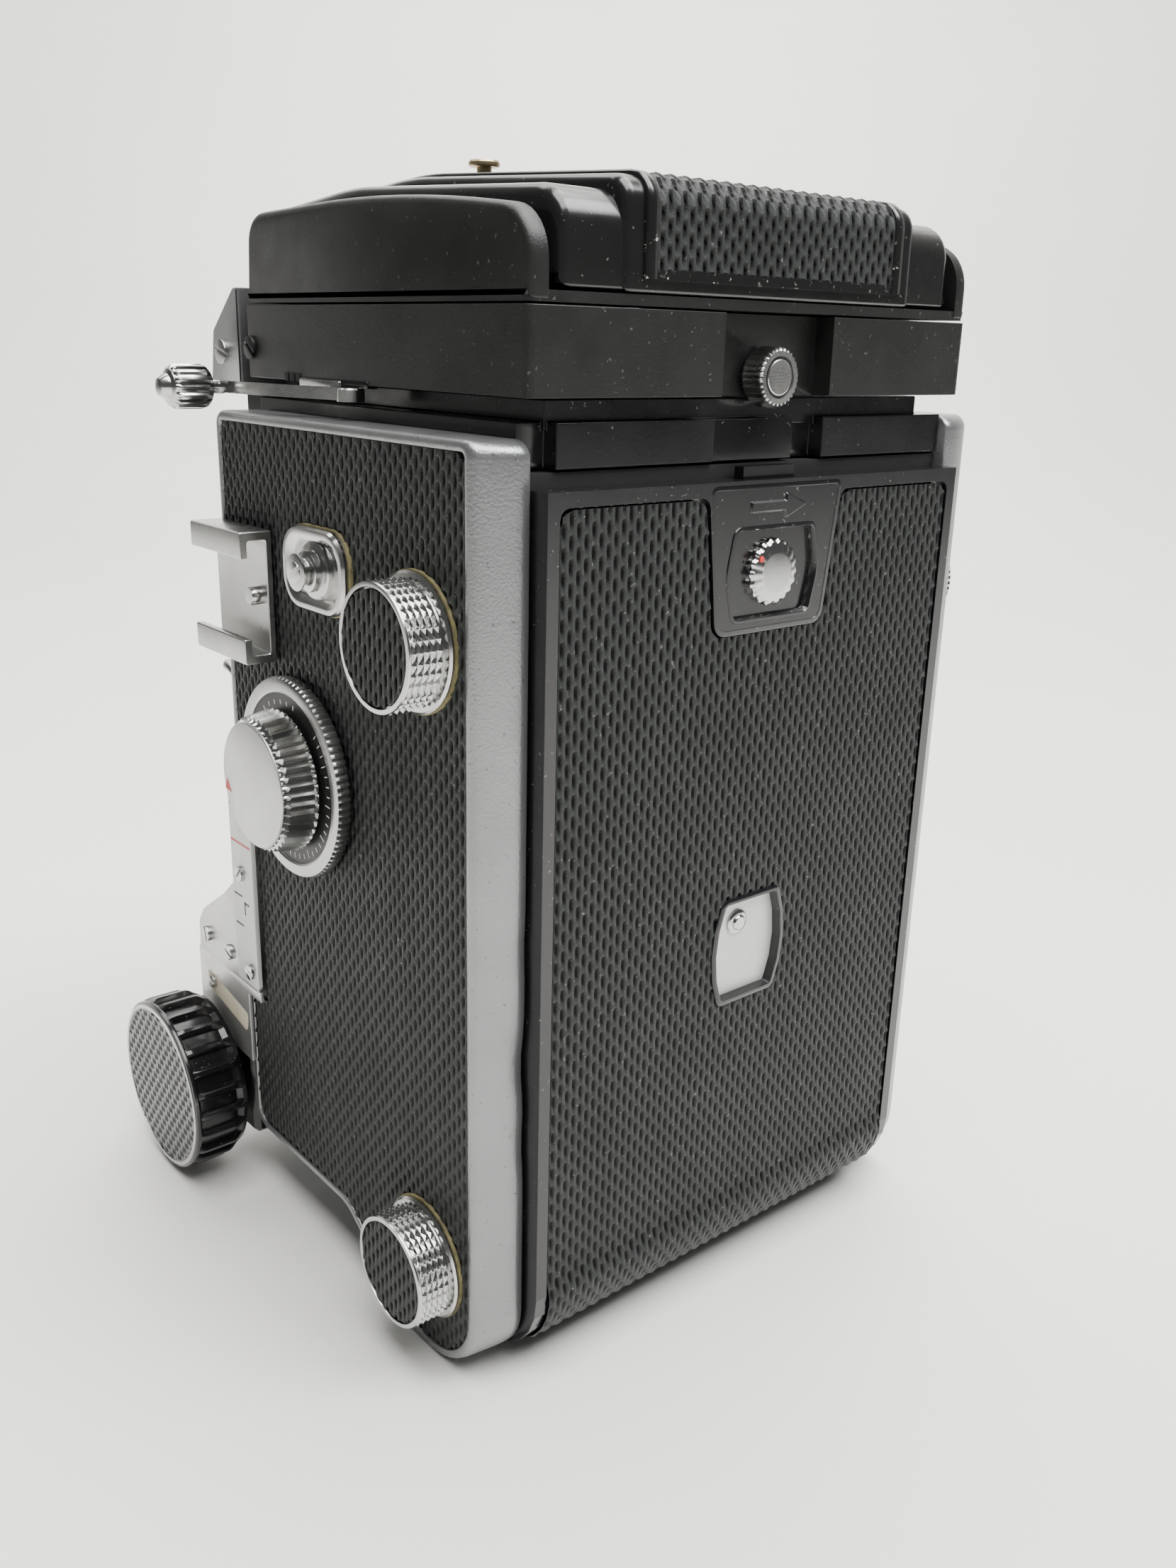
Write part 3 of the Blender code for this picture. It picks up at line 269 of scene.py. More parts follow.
GLUE = surface("old_adhesive", (0.19, 0.165, 0.08), 0.6, 0.0, 0.5, 500.0, 1500.0, 0.00003,
               stain=((0.06, 0.055, 0.04), 0.9))
RED = surface("red_paint", (0.55, 0.03, 0.02), 0.45, 0.0, 0.1, 300.0, 1500.0, 0.00001)
WHITE = surface("white_paint", (0.75, 0.75, 0.72), 0.5, 0.0, 0.05, 300.0, 1500.0, 0.00001)
CLOTH = surface("bellows_cloth", (0.012, 0.012, 0.012), 0.75, 0.0, 0.3, 300.0, 2600.0, 0.00008)
LENS_GLASS = glass("coated_glass", (0.78, 0.80, 0.98))
CLEAR = glass("clear_glass", (0.97, 0.98, 0.97))
GROUND = glass("ground_glass", (0.92, 0.94, 0.92), 0.35)
SILVERED = surface("mirror", (0.88, 0.88, 0.88), 0.06, 1.0, 0.02, 60.0, 300.0, 0.000001, 0.02)


# ---------------------------------------------------------------- outlines
def rounded(corners, steps=6):
    """Outline through (u, v, radius) corners, each turned with its own radius."""
    outline = []
    count = len(corners)
    for index, (u, v, radius) in enumerate(corners):
        corner = Vector((u, v))
        if radius <= 0:
            outline.append(corner)
            continue
        before = Vector(corners[index - 1][:2]) - corner
        after = Vector(corners[(index + 1) % count][:2]) - corner
        half = before.angle(after) / 2
        reach = radius / math.tan(half)
        start = corner + before.normalized() * reach
        end = corner + after.normalized() * reach
        centre = corner + (before.normalized() + after.normalized()).normalized() * radius / math.sin(half)
        first = math.atan2(start.y - centre.y, start.x - centre.x)
        turn = math.atan2(end.y - centre.y, end.x - centre.x) - first
        turn = (turn + math.pi) % (2 * math.pi) - math.pi
        for step in range(steps + 1):
            angle = first + turn * step / steps
            outline.append(centre + Vector((math.cos(angle), math.sin(angle))) * radius)
    return outline


def rectangle(u0, u1, v0, v1, radius=0.0, steps=4):
    return rounded([(u0, v0, radius), (u1, v0, radius), (u1, v1, radius), (u0, v1, radius)], steps)


def circle(u, v, radius, segments=48):
    return [Vector((u + radius * math.cos(2 * math.pi * i / segments),
                    v + radius * math.sin(2 * math.pi * i / segments))) for i in range(segments)]


def area(outline):
    pairs = zip(outline, outline[1:] + outline[:1])
    return sum(a[0] * b[1] - b[0] * a[1] for a, b in pairs) / 2


def inset(outline, distance):
    """The outline moved inwards by distance, corner by corner."""
    sign = 1 if area(outline) > 0 else -1
    count = len(outline)
    moved = []
    for index, point in enumerate(outline):
        back = (point - outline[index - 1]).normalized()
        ahead = (outline[(index + 1) % count] - point).normalized()
        normal = (Vector((-back.y, back.x)) + Vector((-ahead.y, ahead.x))) * sign
        if normal.length < 1e-6:
            normal = Vector((-back.y, back.x)) * sign
        normal.normalize()
        slant = max(0.35, normal.dot(Vector((-back.y, back.x)) * sign))
        moved.append(point + normal * distance / slant)
    return moved


def divided(outline, step):
    """The outline with points added so that no edge is longer than step."""
    points = []
    for a, b in zip(outline, outline[1:] + outline[:1]):
        count = max(1, math.ceil((b - a).length / step))
        points += [a + (b - a) * k / count for k in range(count)]
    return points


def side_outline(top, margin=0.0, steps=6):
    """Side silhouette of a cover: straight sides, and the film chamber's bulge at the rear foot."""
    return rounded([(COVER_FRONT + margin, top - margin, 2.2), (-margin, top - margin, 2.2),
                    (-margin, margin, 12.0 - margin), (-19.5 + 0.4 * margin, margin, 12.0),
                    (-36.2 + 0.4 * margin, PANEL_BOTTOM + margin, 7.0), (COVER_FRONT + margin,
                                                                         PANEL_BOTTOM + margin, 4.0),], steps)


# ---------------------------------------------------------------- mesh builder
OPEN = (False, False)
AXES = {"X": lambda u, v, w: (w, u, v), "-X": lambda u, v, w: (-w, u, v), "Y": lambda u, v, w: (u, w, v),
        "-Y": lambda u, v, w: (u, -w, v), "Z": lambda u, v, w: (u, v, w),}


def round_point(axis, centre, radius, angle, height):
    """Point of a turned shape: radius and angle about the centre, height along the axis."""
    x, y, z = AXES[axis](radius * math.cos(angle), radius * math.sin(angle), height)
    return (x + centre[0], y + centre[1], z + centre[2])


def side_axis(side):
    return "X" if side > 0 else "-X"


class Shape:
    """Collects solids in datum millimetres, each with a material, into one mesh piece."""

    def __init__(self):
        self.points = []
        self.faces = []
        self.marks = []
        self.materials = []

    def add(self, points, faces, mat):
        if mat not in self.materials:
            self.materials.append(mat)
        start = len(self.points)
        self.points += [tuple(p) for p in points]
        self.faces += [tuple(i + start for i in face) for face in faces]
        self.marks += [self.materials.index(mat)] * len(faces)
        return self

    def loops(self, rings, mat, closed=True, caps=(True, True)):
        """Skin over rings of points that all have the same count."""
        count = len(rings[0])
        points = [p for ring in rings for p in ring]
        faces = []
        for r in range(len(rings) - 1):
            for i in range(count if closed else count - 1):
                j = (i + 1) % count
                faces.append((r * count + i, r * count + j, (r + 1) * count + j, (r + 1) * count + i))
        if caps[0]:
            faces.append(tuple(range(count))[::-1])
        if caps[1]:
            faces.append(tuple((len(rings) - 1) * count + i for i in range(count)))
        return self.add(points, faces, mat)

    def turned(self, profile, axis, centre, mat, segments=64, radius_at=None, caps=(True, True)):
        """Turned solid from (radius, height) points; radius_at(index, angle, radius) may flute it."""
        rings = []
        for index, (radius, height) in enumerate(profile):
            ring = []
            for step in range(segments):
                angle = 2 * math.pi * step / segments
                r = max(radius_at(index, angle, radius) if radius_at else radius, 1e-4)
                ring.append(round_point(axis, centre, r, angle, height))
            rings.append(ring)
        return self.loops(rings, mat, caps=caps)

    def ring(self, profile, axis, centre, mat, segments=64, radius_at=None):
        """Turned ring; its profile ends where it starts."""
        return self.turned(profile, axis, centre, mat, segments, radius_at, OPEN)

    def slab(self, outline, axis, base, top, mat, edge=0.0, both=False, steps=2):
        """Outline extruded along an axis, with its top edge, or both edges, rounded by edge."""
        levels = [(base, 0.0)]
        if edge:
            curve = [(edge * (1 - math.cos(math.radians(90 * s / steps))),
                      edge * (1 - math.sin(math.radians(90 * s / steps)))) for s in range(steps + 1)]
            if both:
                levels = [(base + drop, margin) for margin, drop in reversed(curve)]
            levels += [(top - drop, margin) for margin, drop in curve]
        else:
            levels.append((top, 0.0))
        return contoured(self, outline, axis, levels, mat)

    def tube(self, path, radius, mat, segments=8, closed=False):
        """Round bar along a path of datum points."""
        path = [Vector(p) for p in path]
        count = len(path)
        rings = []
        side = None
        for index, point in enumerate(path):
            before = path[index - 1] if (index or closed) else point
            after = path[(index + 1) % count] if (index < count - 1 or closed) else point
            ahead = (after - before).normalized()
            if side is None:
                side = ahead.orthogonal().normalized()
            side = (side - ahead * side.dot(ahead)).normalized()
            up = ahead.cross(side)
            rings.append([tuple(point + (side * math.cos(a) + up * math.sin(a)) * radius)
                          for a in (2 * math.pi * k / segments for k in range(segments))])
        if closed:
            rings.append(rings[0])
            return self.loops(rings, mat, caps=OPEN)
        return self.loops(rings, mat)

    def screw(self, centre, axis, radius, turn, mat, height=0.7):
        """Slotted screw head that stands on centre: two halves of a disc beside a slot."""
        half_slot = 0.16 * radius
        place = {"X": (1, 2, 0), "-X": (1, 2, 0), "Y": (0, 2, 1), "-Y": (0, 2, 1), "Z": (0, 1, 2)}[axis]
        u, v, w = (centre[i] for i in place)
        w = -w if axis.startswith("-") else w
        reach = math.acos(half_slot / radius)
        for start in (0.0, math.pi):
            half = [Vector((radius * math.cos(start + reach * k / 10),
                            radius * math.sin(start + reach * k / 10))) for k in range(-10, 11)]
            spun = [Vector((u + p.x * math.cos(turn) - p.y * math.sin(turn),
                            v + p.x * math.sin(turn) + p.y * math.cos(turn))) for p in half]
            self.slab(spun, axis, w, w + height, mat, 0.12)
        self.slab(circle(u, v, radius, 24), axis, w - 0.2, w + height * 0.35, mat)
        return self

    def built(self, name, smooth):
        """The mesh object, welded and shaded, in the scene's metres."""
        mesh = bpy.data.meshes.new(name)
        mesh.from_pydata([world(*p) for p in self.points], [], self.faces)
        for mat in self.materials:
            mesh.materials.append(mat)
        mesh.polygons.foreach_set("material_index", self.marks)
        tidy(mesh)
        obj = bpy.data.objects.new(name, mesh)
        SCENE.collection.objects.link(obj)
        shade(obj, smooth)
        return obj

    def place(self, name, body, stands_for=(), smooth=32.0):
        """Build the piece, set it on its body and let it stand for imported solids."""
        obj = self.built(name, smooth)
        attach(obj, body)
        if stands_for:
            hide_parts(*stands_for)
        return obj


def tidy(mesh):
    """Weld, drop faces without area and turn every face outwards."""
    bm = bmesh.new()
    bm.from_mesh(mesh)
    bmesh.ops.remove_doubles(bm, verts=bm.verts, dist=1.5e-6)
    bmesh.ops.dissolve_degenerate(bm, dist=1e-6, edges=bm.edges)
    bmesh.ops.recalc_face_normals(bm, faces=bm.faces)
    bm.to_mesh(mesh)
    bm.free()


def shade(obj, angle):
    obj.data.shade_smooth()
    obj.data.set_sharp_from_angle(angle=math.radians(angle))


SHARP = 30.0


def refined(node, mat, width=0.25, segments=2):
    """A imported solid's own shape with its edges rounded, in place of the plain solid."""
    source = frame["nodes"][node]
    mesh = source.data.copy()
    bm = bmesh.new()
    bm.from_mesh(mesh)
    bmesh.ops.remove_doubles(bm, verts=bm.verts, dist=1e-6)
    bmesh.ops.dissolve_limit(bm, angle_limit=math.radians(1.0), verts=bm.verts, edges=bm.edges)
    bm.to_mesh(mesh)
    bm.free()
    mesh.materials.clear()
    mesh.materials.append(mat)
    obj = bpy.data.objects.new(f"{node}_finished", mesh)
    SCENE.collection.objects.link(obj)
    bevel = obj.modifiers.new("edges", "BEVEL")
    bevel.width = width * MM
    bevel.segments = segments
    bevel.limit_method = "ANGLE"
    bevel.angle_limit = math.radians(SHARP)
    bevel.harden_normals = True
    shade(obj, SHARP)
    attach(obj, source["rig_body"])
    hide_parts(node)
    return obj


def repaint(node, mat):
    obj = frame["nodes"][node]
    obj.data.materials.clear()
    obj.data.materials.append(mat)


# ---------------------------------------------------------------- leatherette
SLOT_PITCH, SLOT_PERIOD, SLOT_DEPTH = 1.2, 2.9, 0.60
SLOT_COLUMNS = (-0.36, -0.24, 0.24, 0.36)
SLOT_ROWS = (1.0, 0.72, 0.50, 0.18, 0.02, 0.0)


def grain_height(column, row):
    """Height of the pressed grain: each slot is deepest just below the bump that closes it."""
    pitch, place = divmod(column, len(SLOT_COLUMNS))
    step = (row + (len(SLOT_ROWS) // 2 if pitch % 2 else 0)) % len(SLOT_ROWS)
    if place in (0, 3):
        return (0.95 if step == 0 else 0.66) + (0.05 if step == 1 else 0.0)
    return SLOT_ROWS[step]


def crossings(outline, v):
    """The u values where the outline crosses the level v, in order."""
    found = []
    for a, b in zip(outline, outline[1:] + outline[:1]):
        if (a[1] > v) != (b[1] > v):
            found.append(a[0] + (b[0] - a[0]) * (v - a[1]) / (b[1] - a[1]))
    return sorted(found)


def spans(outline, v):
    cuts = crossings(outline, v)
    return list(zip(cuts[::2], cuts[1::2]))


def hide(shape, outline, surface_at, holes=()):
    """Skin pressed with staggered slots; surface_at(u, v, h) gives the datum point at height h."""
    lowest, highest = min(p[1] for p in outline), max(p[1] for p in outline)
    left, right = min(p[0] for p in outline), max(p[0] for p in outline)
    step = SLOT_PERIOD / len(SLOT_ROWS)
    rows = [(k * step, k) for k in range(math.ceil(lowest / step), math.floor(highest / step) + 1)]
    rows = [(lowest + 1e-3, rows[0][1])] + rows + [(highest - 1e-3, rows[-1][1])]
    pitches = range(math.floor(left / SLOT_PITCH) - 1, math.ceil(right / SLOT_PITCH) + 2)
    columns = [(pitch * SLOT_PITCH + offset, pitch * len(SLOT_COLUMNS) + place) for pitch in pitches
               for place, offset in enumerate(SLOT_COLUMNS)]
    points = []
    for v, row in rows:
        open_spans = spans(outline, v)
        for u, column in columns:
            best = min((max(a, min(b, u)) for a, b in open_spans), key=lambda value: abs(value - u))
            height = grain_height(column, row) if abs(best - u) < 1e-6 else 0.5
            points.append(surface_at(best, v, height * SLOT_DEPTH))
    faces = []
    width = len(columns)
    for r in range(len(rows) - 1):
        v = (rows[r][0] + rows[r + 1][0]) / 2
        kept = spans(outline, v)
        cut = [span for hole in holes for span in spans(hole, v)]
        for c in range(width - 1):
            u = (columns[c][0] + columns[c + 1][0]) / 2
            if any(a - 0.1 < u < b + 0.1 for a, b in kept) and not any(a < u < b for a, b in cut):
                first = r * width + c
                faces.append((first, first + 1, first + width + 1, first + width))
    used = sorted({k for face in faces for k in face})
    number = {k: i for i, k in enumerate(used)}
    return shape.add([points[k] for k in used], [tuple(number[k] for k in face) for face in faces], HIDE)


# ---------------------------------------------------------------- shared forms
def contoured(shape, outline, axis, profile, mat, caps=(True, True)):
    """Solid on an outline whose edge follows (height, margin) pairs."""
    to_axis = AXES[axis]
    rings = [[to_axis(p[0], p[1], h) for p in (inset(outline, m) if m else outline)] for h, m in profile]
    return shape.loops(rings, mat, caps=caps)


def diamonds(shape, axis, centre, radius, base, top, mat, around=36, rows=5, depth=0.45):
    """Ring of pyramids, as left by a coarse crossed knurl."""
    count = around * 2
    lines = []
    for row in range(rows * 2 + 1):
        height = base + (top - base) * row / (rows * 2)
        line = []
        for step in range(count):
            raised = (step + row) % 2 == 0 and 0 < row < rows * 2 and row % 2 == 1
            valley = (step + row) % 2 == 1 and row % 2 == 1
            r = radius if raised else radius - (depth if not valley else depth * 0.75)
            angle = 2 * math.pi * step / count
            line.append(round_point(axis, centre, r, angle, height))
        lines.append(line)
    points = [p for line in lines for p in line]
    faces = []
    for row in range(rows * 2):
        for step in range(count):
            a, b = row * count + step, row * count + (step + 1) % count
            c, d = b + count, a + count
            faces += [(a, b, c), (a, c, d)] if (step + row) % 2 else [(a, b, d), (b, c, d)]
    return shape.add(points, faces, mat)


def fluted(count, depth, first, last, duty=0.5, soft=3.0):
    """Radius rule for turned(): flutes cut between two profile rows."""
    def rule(index, angle, radius):
        if not first <= index <= last:
            return radius
        wave = math.cos(angle * count)
        cut = 1 / (1 + math.exp(-soft * (wave - math.cos(math.pi * duty)) * 2))
        return radius - depth * (1 - cut)
    return rule


def toothed(count, depth, first, last):
    """Radius rule for turned(): straight V teeth between two profile rows."""
    def rule(index, angle, radius):
        if not first <= index <= last:
            return radius
        phase = (angle * count / (2 * math.pi)) % 1.0
        return radius - depth * abs(2 * phase - 1)
    return rule


def slot_screw(shape, side, y, z, x, radius, turn, mat=CHROME, height=0.7):
    """Slotted screw on one side of the camera, seated at x."""
    axis = side_axis(side)
    return shape.screw((side * x, y, z), axis, radius, turn, mat, height)


# ---------------------------------------------------------------- side covers
SKIN_BASE = COVER_OUT - 0.50
REAR_DENTS = ((52.0, 5.0, 0.38), (40.0, 4.0, 0.22), (70.0, 3.0, 0.12))


def cover(side, name, top):
    """Pressed cover whose rear edge swells towards the door."""
    axis = side_axis(side)
    outline = divided(side_outline(top, 0.0, 10), 3.0)
    profile = [(COVER_IN, 0.3), (COVER_IN + 0.3, 0.05), (COVER_IN + 1.5, 0.0), (COVER_IN + 2.8, 0.0),
               (COVER_IN + 4.1, 0.0), (COVER_IN + 5.4, 0.0), (COVER_OUT - 0.9, 0.0), (COVER_OUT - 0.45, 0.1),
               (COVER_OUT - 0.12, 0.38), (COVER_OUT, 0.75), (COVER_OUT, 1.25), (COVER_OUT - 0.12, 1.42),
               (COVER_OUT - 0.8, 1.5)]
    rings = []
    for height, margin in profile:
        share = (COVER_OUT - height) / (COVER_OUT - COVER_IN)
        swell = 1.9 * (1 - (1 - share) ** 2)
        ring = []
        for point in inset(outline, margin) if margin else outline:
            reach = min(1.0, max(0.0, (point.x + 6.0) / 6.0))
            dent = sum(depth * math.exp(-((point.y - z) / spread) ** 2) for z, spread, depth in REAR_DENTS)
            ring.append(AXES[axis](point.x + (swell - dent * share * 2) * reach, point.y, height))
        rings.append(ring)
    Shape().loops(rings, SILVER).place(f"{name}_shell", "camera_body", [name], 50)


def glue_lines():
    """Old yellowed adhesive that shows as a thin line at the edges of the knobs' seats and the lug plate."""
    shape = Shape()
    height = COVER_OUT + 0.02
    for z in (UPPER_Z, LOWER_Z):
        shape.slab(circle(KNOB_Y - 0.05, z, 9.42, 48), "X", height - 0.3, height + 0.2, GLUE)
    shape.slab(rectangle(-45.5, -28.0, 109.4, 121.6, 4.8), "X", height - 0.3, height + 0.2, GLUE)
    shape.place("adhesive_edges", "camera_body", (), 30)


def side_hide(side, name, top, holes):
    shape = Shape()
    outline = side_outline(top, 1.5, 10)
    hide(shape, outline, lambda u, v, h: (side * (SKIN_BASE - 0.12 + h), u, v), holes)
    shape.place(f"{name}_grain", "camera_body", [name], 80)


def sides():
    cover(1, "left_side_cover", LEFT_TOP)
    cover(-1, "right_side_cover", RIGHT_TOP)
    knobs = [circle(KNOB_Y, UPPER_Z, 6.0), circle(KNOB_Y, LOWER_Z, 6.0), circle(DIAL_Y, DIAL_Z, 11.0)]
    notch = [Vector(p) for p in ((-75, 38.2), (-61.2, 38.2), (-61.2, 82.5), (-75, 82.5))]
    lug = rectangle(-43.0, -31.0, 111.5, 119.5, 3.0)
    glue_lines()
    side_hide(1, "left_leatherette", LEFT_TOP, knobs + [notch, lug])
    side_hide(-1, "right_leatherette", RIGHT_TOP, [circle(KNOB_Y, UPPER_Z, 6.0), circle(*COUNTER, 6.2), lug])


# ---------------------------------------------------------------- back door
DOOR_BEND_R = 13.0
DOOR_BEND_Z = 15.0
HIDE_HALF = 37.7
HIDE_TOP = 127.5
LOCK_LEFT = [(13.3, HIDE_TOP, 2.0), (11.2, 108.9, 2.0), (-11.2, 108.9, 2.0), (-13.5, HIDE_TOP, 2.0)]
WINDOW_LINE = [(-5.4, WINDOW_Z - 7.9, 0.8), (5.4, WINDOW_Z - 7.9, 0.8), (6.6, 56.2, 3.0),
               (7.0, WINDOW_Z, 5.0), (6.6, 64.2, 3.0), (5.4, WINDOW_Z + 7.9, 0.8),
               (-5.4, WINDOW_Z + 7.9, 0.8), (-6.6, 64.2, 3.0), (-7.0, WINDOW_Z, 5.0), (-6.6, 56.2, 3.0)]
BARREL_LINE = [(-7.4, 111.0, 1.0), (7.4, 111.0, 1.0), (8.8, 117.0, 9.0), (7.6, 123.0, 1.0),
               (-7.6, 123.0, 1.0), (-8.8, 117.0, 9.0)]


def door_point(u, v, height):
    """Point on the door: v is z on the flat, and runs on round the bend at the foot."""
    seat = DOOR_Y - 0.62 if v > 16.8 else DOOR_Y + 0.03 - 0.65 * max(0.0, (v - 14.6) / 2.2)
    if v >= DOOR_BEND_Z:
        return (u, seat + height, v)
    turn = (DOOR_BEND_Z - v) / DOOR_BEND_R
    if turn < math.pi / 2:
        reach = DOOR_BEND_R + seat - DOOR_Y + height
        return (u, DOOR_Y - DOOR_BEND_R + reach * math.cos(turn), DOOR_BEND_Z - reach * math.sin(turn))
    along = (turn - math.pi / 2) * DOOR_BEND_R
    return (u, DOOR_Y - DOOR_BEND_R - along,
            DOOR_BEND_Z - DOOR_BEND_R - height + max(0.0, along - 8.0) * 0.05)


def door_hide():
    foot = -13.0
    outline = rounded([(-HIDE_HALF, foot, 1.0), (HIDE_HALF, foot, 1.0), (HIDE_HALF, HIDE_TOP, 2.0),
                       *LOCK_LEFT, (-HIDE_HALF, HIDE_TOP, 2.0)], 5)
    window = inset(rounded(WINDOW_LINE, 4), -0.5)
    shape = hide(Shape(), outline, door_point, [window])
    shape.place("door_leatherette_grain", "back_door", ["door_leatherette"], 80)


def door_fittings():
    """Lips round the lock escutcheon and the window, the carrier plate behind it and the arrow."""
    shape = Shape()
    face = DOOR_Y - 0.05
    escutcheon = rounded([(-13.0, 129.1, 1.0), (-10.6, 109.1, 2.0), (10.6, 109.1, 2.0), (12.8, 129.1, 1.0)],
                         5)
    contoured(shape, escutcheon, "Y", [(DOOR_Y - 0.9, -0.3), (face, -0.25), (face + 0.1, 0.1),
                                       (face + 0.1, 0.5), (face - 0.25, 0.9), (face - 0.25, 1.1)], GLOSS,
              caps=(True, False))
    line = rounded(BARREL_LINE, 4)
    inner = inset(escutcheon, 1.1)
    bridge(shape, inner, inset(line, -0.8), "Y", face - 0.25, GLOSS)
    contoured(shape, inset(line, -0.8), "Y", [(face - 0.25, 0.0), (face + 0.2, 0.25), (face + 0.22, 0.6),
                                              (face - 0.1, 0.9), (DOOR_Y - 2.2, 1.2), (DOOR_Y - 2.2, 1.4)],
              GLOSS, caps=(False, True))
    window = rounded(WINDOW_LINE, 4)
    contoured(shape, inset(window, -0.9), "Y", [(DOOR_Y - 0.9, 0.0), (face + 0.05, 0.15), (face + 0.25, 0.45),
                                                (face + 0.2, 0.95), (face - 0.6, 1.15), (DOOR_Y - 1.5, 1.15)],
              GLOSS, caps=OPEN)
    shape.place("door_lips", "back_door", (), 40)
    door_plate_and_arrow(window, face)


def door_plate_and_arrow(window, face):
    """Carrier plate with its rivet behind the window, and the opening arrow over the lock."""
    plate = Shape()
    plate.slab(inset(window, -0.3), "Y", DOOR_Y - 2.2, DOOR_Y - 1.35, PLATE)
    plate.turned([(1.95, 0), (1.95, 0.35), (1.7, 0.55), (1.25, 0.6), (1.2, 0.75), (0.95, 0.95), (0.0, 1.0)],
                 "Y", (1.6, DOOR_Y - 1.4, 64.2), CHROME, 32)
    plate.place("plate_carrier_face", "back_door", ["plate_carrier"], 35)

    arrow = Shape()
    arrow_line = rounded([(5.4, 125.3, 0.2), (5.4, 126.9, 0.2), (-1.4, 126.9, 0.1), (-1.4, 128.0, 0.3),
                          (-6.1, 126.1, 0.3), (-1.4, 124.2, 0.3), (-1.4, 125.3, 0.1)], 3)
    contoured(arrow, arrow_line, "Y", [(face - 0.3, 0.0), (face + 0.05, 0.0), (face + 0.3, 0.28)], GLOSS)
    arrow.place("door_arrow", "back_door", (), 30)


def bridge(shape, outer, inner, axis, height, mat):
    """Flat web between two outlines, joined at the nearest angles about the inner outline's middle."""
    to_axis = AXES[axis]
    centre = sum(inner, Vector((0.0, 0.0))) / len(inner)
    count = 96
    rings = []
    for outline in (outer, inner):
        ring = []
        for step in range(count):
            angle = 2 * math.pi * step / count
            ray = centre + Vector((math.cos(angle), math.sin(angle))) * 200
            hits = [intersect_line_line_2d(centre, ray, a, b) for a, b in zip(outline,
                                                                              outline[1:] + outline[:1])]
            hit = max((h for h in hits if h), key=lambda h: (h - centre).length)
            ring.append(to_axis(hit.x, hit.y, height))
        rings.append(ring)
    return shape.loops(rings, mat, caps=OPEN)


def lock_dial():
    centre = (0, 0, LOCK_Z)
    shape = Shape()
    shape.turned([(4.6, DOOR_Y - 0.9), (LOCK_R, DOOR_Y - 0.5), (LOCK_R, DOOR_Y - 0.1), (4.3, DOOR_Y + 0.35),
                  (2.95, DOOR_Y + 0.75)], "Y", centre, CHROME, 162, fluted(18, 0.34, 1, 3, 0.5, 1.6))
    shape.turned([(2.9, DOOR_Y + 0.5), (2.85, DOOR_Y + 0.74), (2.6, DOOR_Y + 0.8), (0, DOOR_Y + 0.8)], "Y",
                 centre, STEEL, 40)
    shape.turned([(0.42, DOOR_Y + 0.5), (0.42, DOOR_Y + 0.66), (0, DOOR_Y + 0.68)], "Y",
                 (3.1, 0, LOCK_Z + 2.1), RED, 14)
    shape.place("door_lock_knob", "door_lock_dial", ["door_lock_dial"], 25)


def back_door():
    refined("back_door", GLOSS, 0.45, 3)
    door_hide()
    door_fittings()
    lock_dial()


# ---------------------------------------------------------------- left side knobs
def spool_knobs():
    for name, z in (("upper_spool_knob", UPPER_Z), ("lower_spool_knob", LOWER_Z)):
        face = high(name).x
        centre = (0, KNOB_Y, z)
        shape = Shape()
        shape.turned([(2.3, 30.0), (2.3, COVER_OUT + 0.3), (9.2, COVER_OUT + 0.3), (9.25, COVER_OUT + 0.6),
                      (8.9, COVER_OUT + 0.9), (8.1, COVER_OUT + 1.0), (8.05, COVER_OUT + 1.9)], "X", centre,
                     CHROME, 72)
        diamonds(shape, "X", centre, 8.6, COVER_OUT + 1.2, face - 0.55, CHROME, 36, 5, 0.55)
        shape.turned([(8.0, face - 0.7), (8.25, face - 0.55), (8.45, face - 0.3), (8.35, face - 0.05),
                      (8.1, face), (7.75, face), (7.65, face - 0.3), (7.65, face - 0.9), (0.0, face - 0.9)],
                     "X", centre, CHROME, 72)
        skin = circle(KNOB_Y, z, 7.62, 72)
        hide(shape, skin, lambda u, v, h: (face - 0.52 + h, u, v))
        shape.place(f"{name}_turned", name, [name], 28)


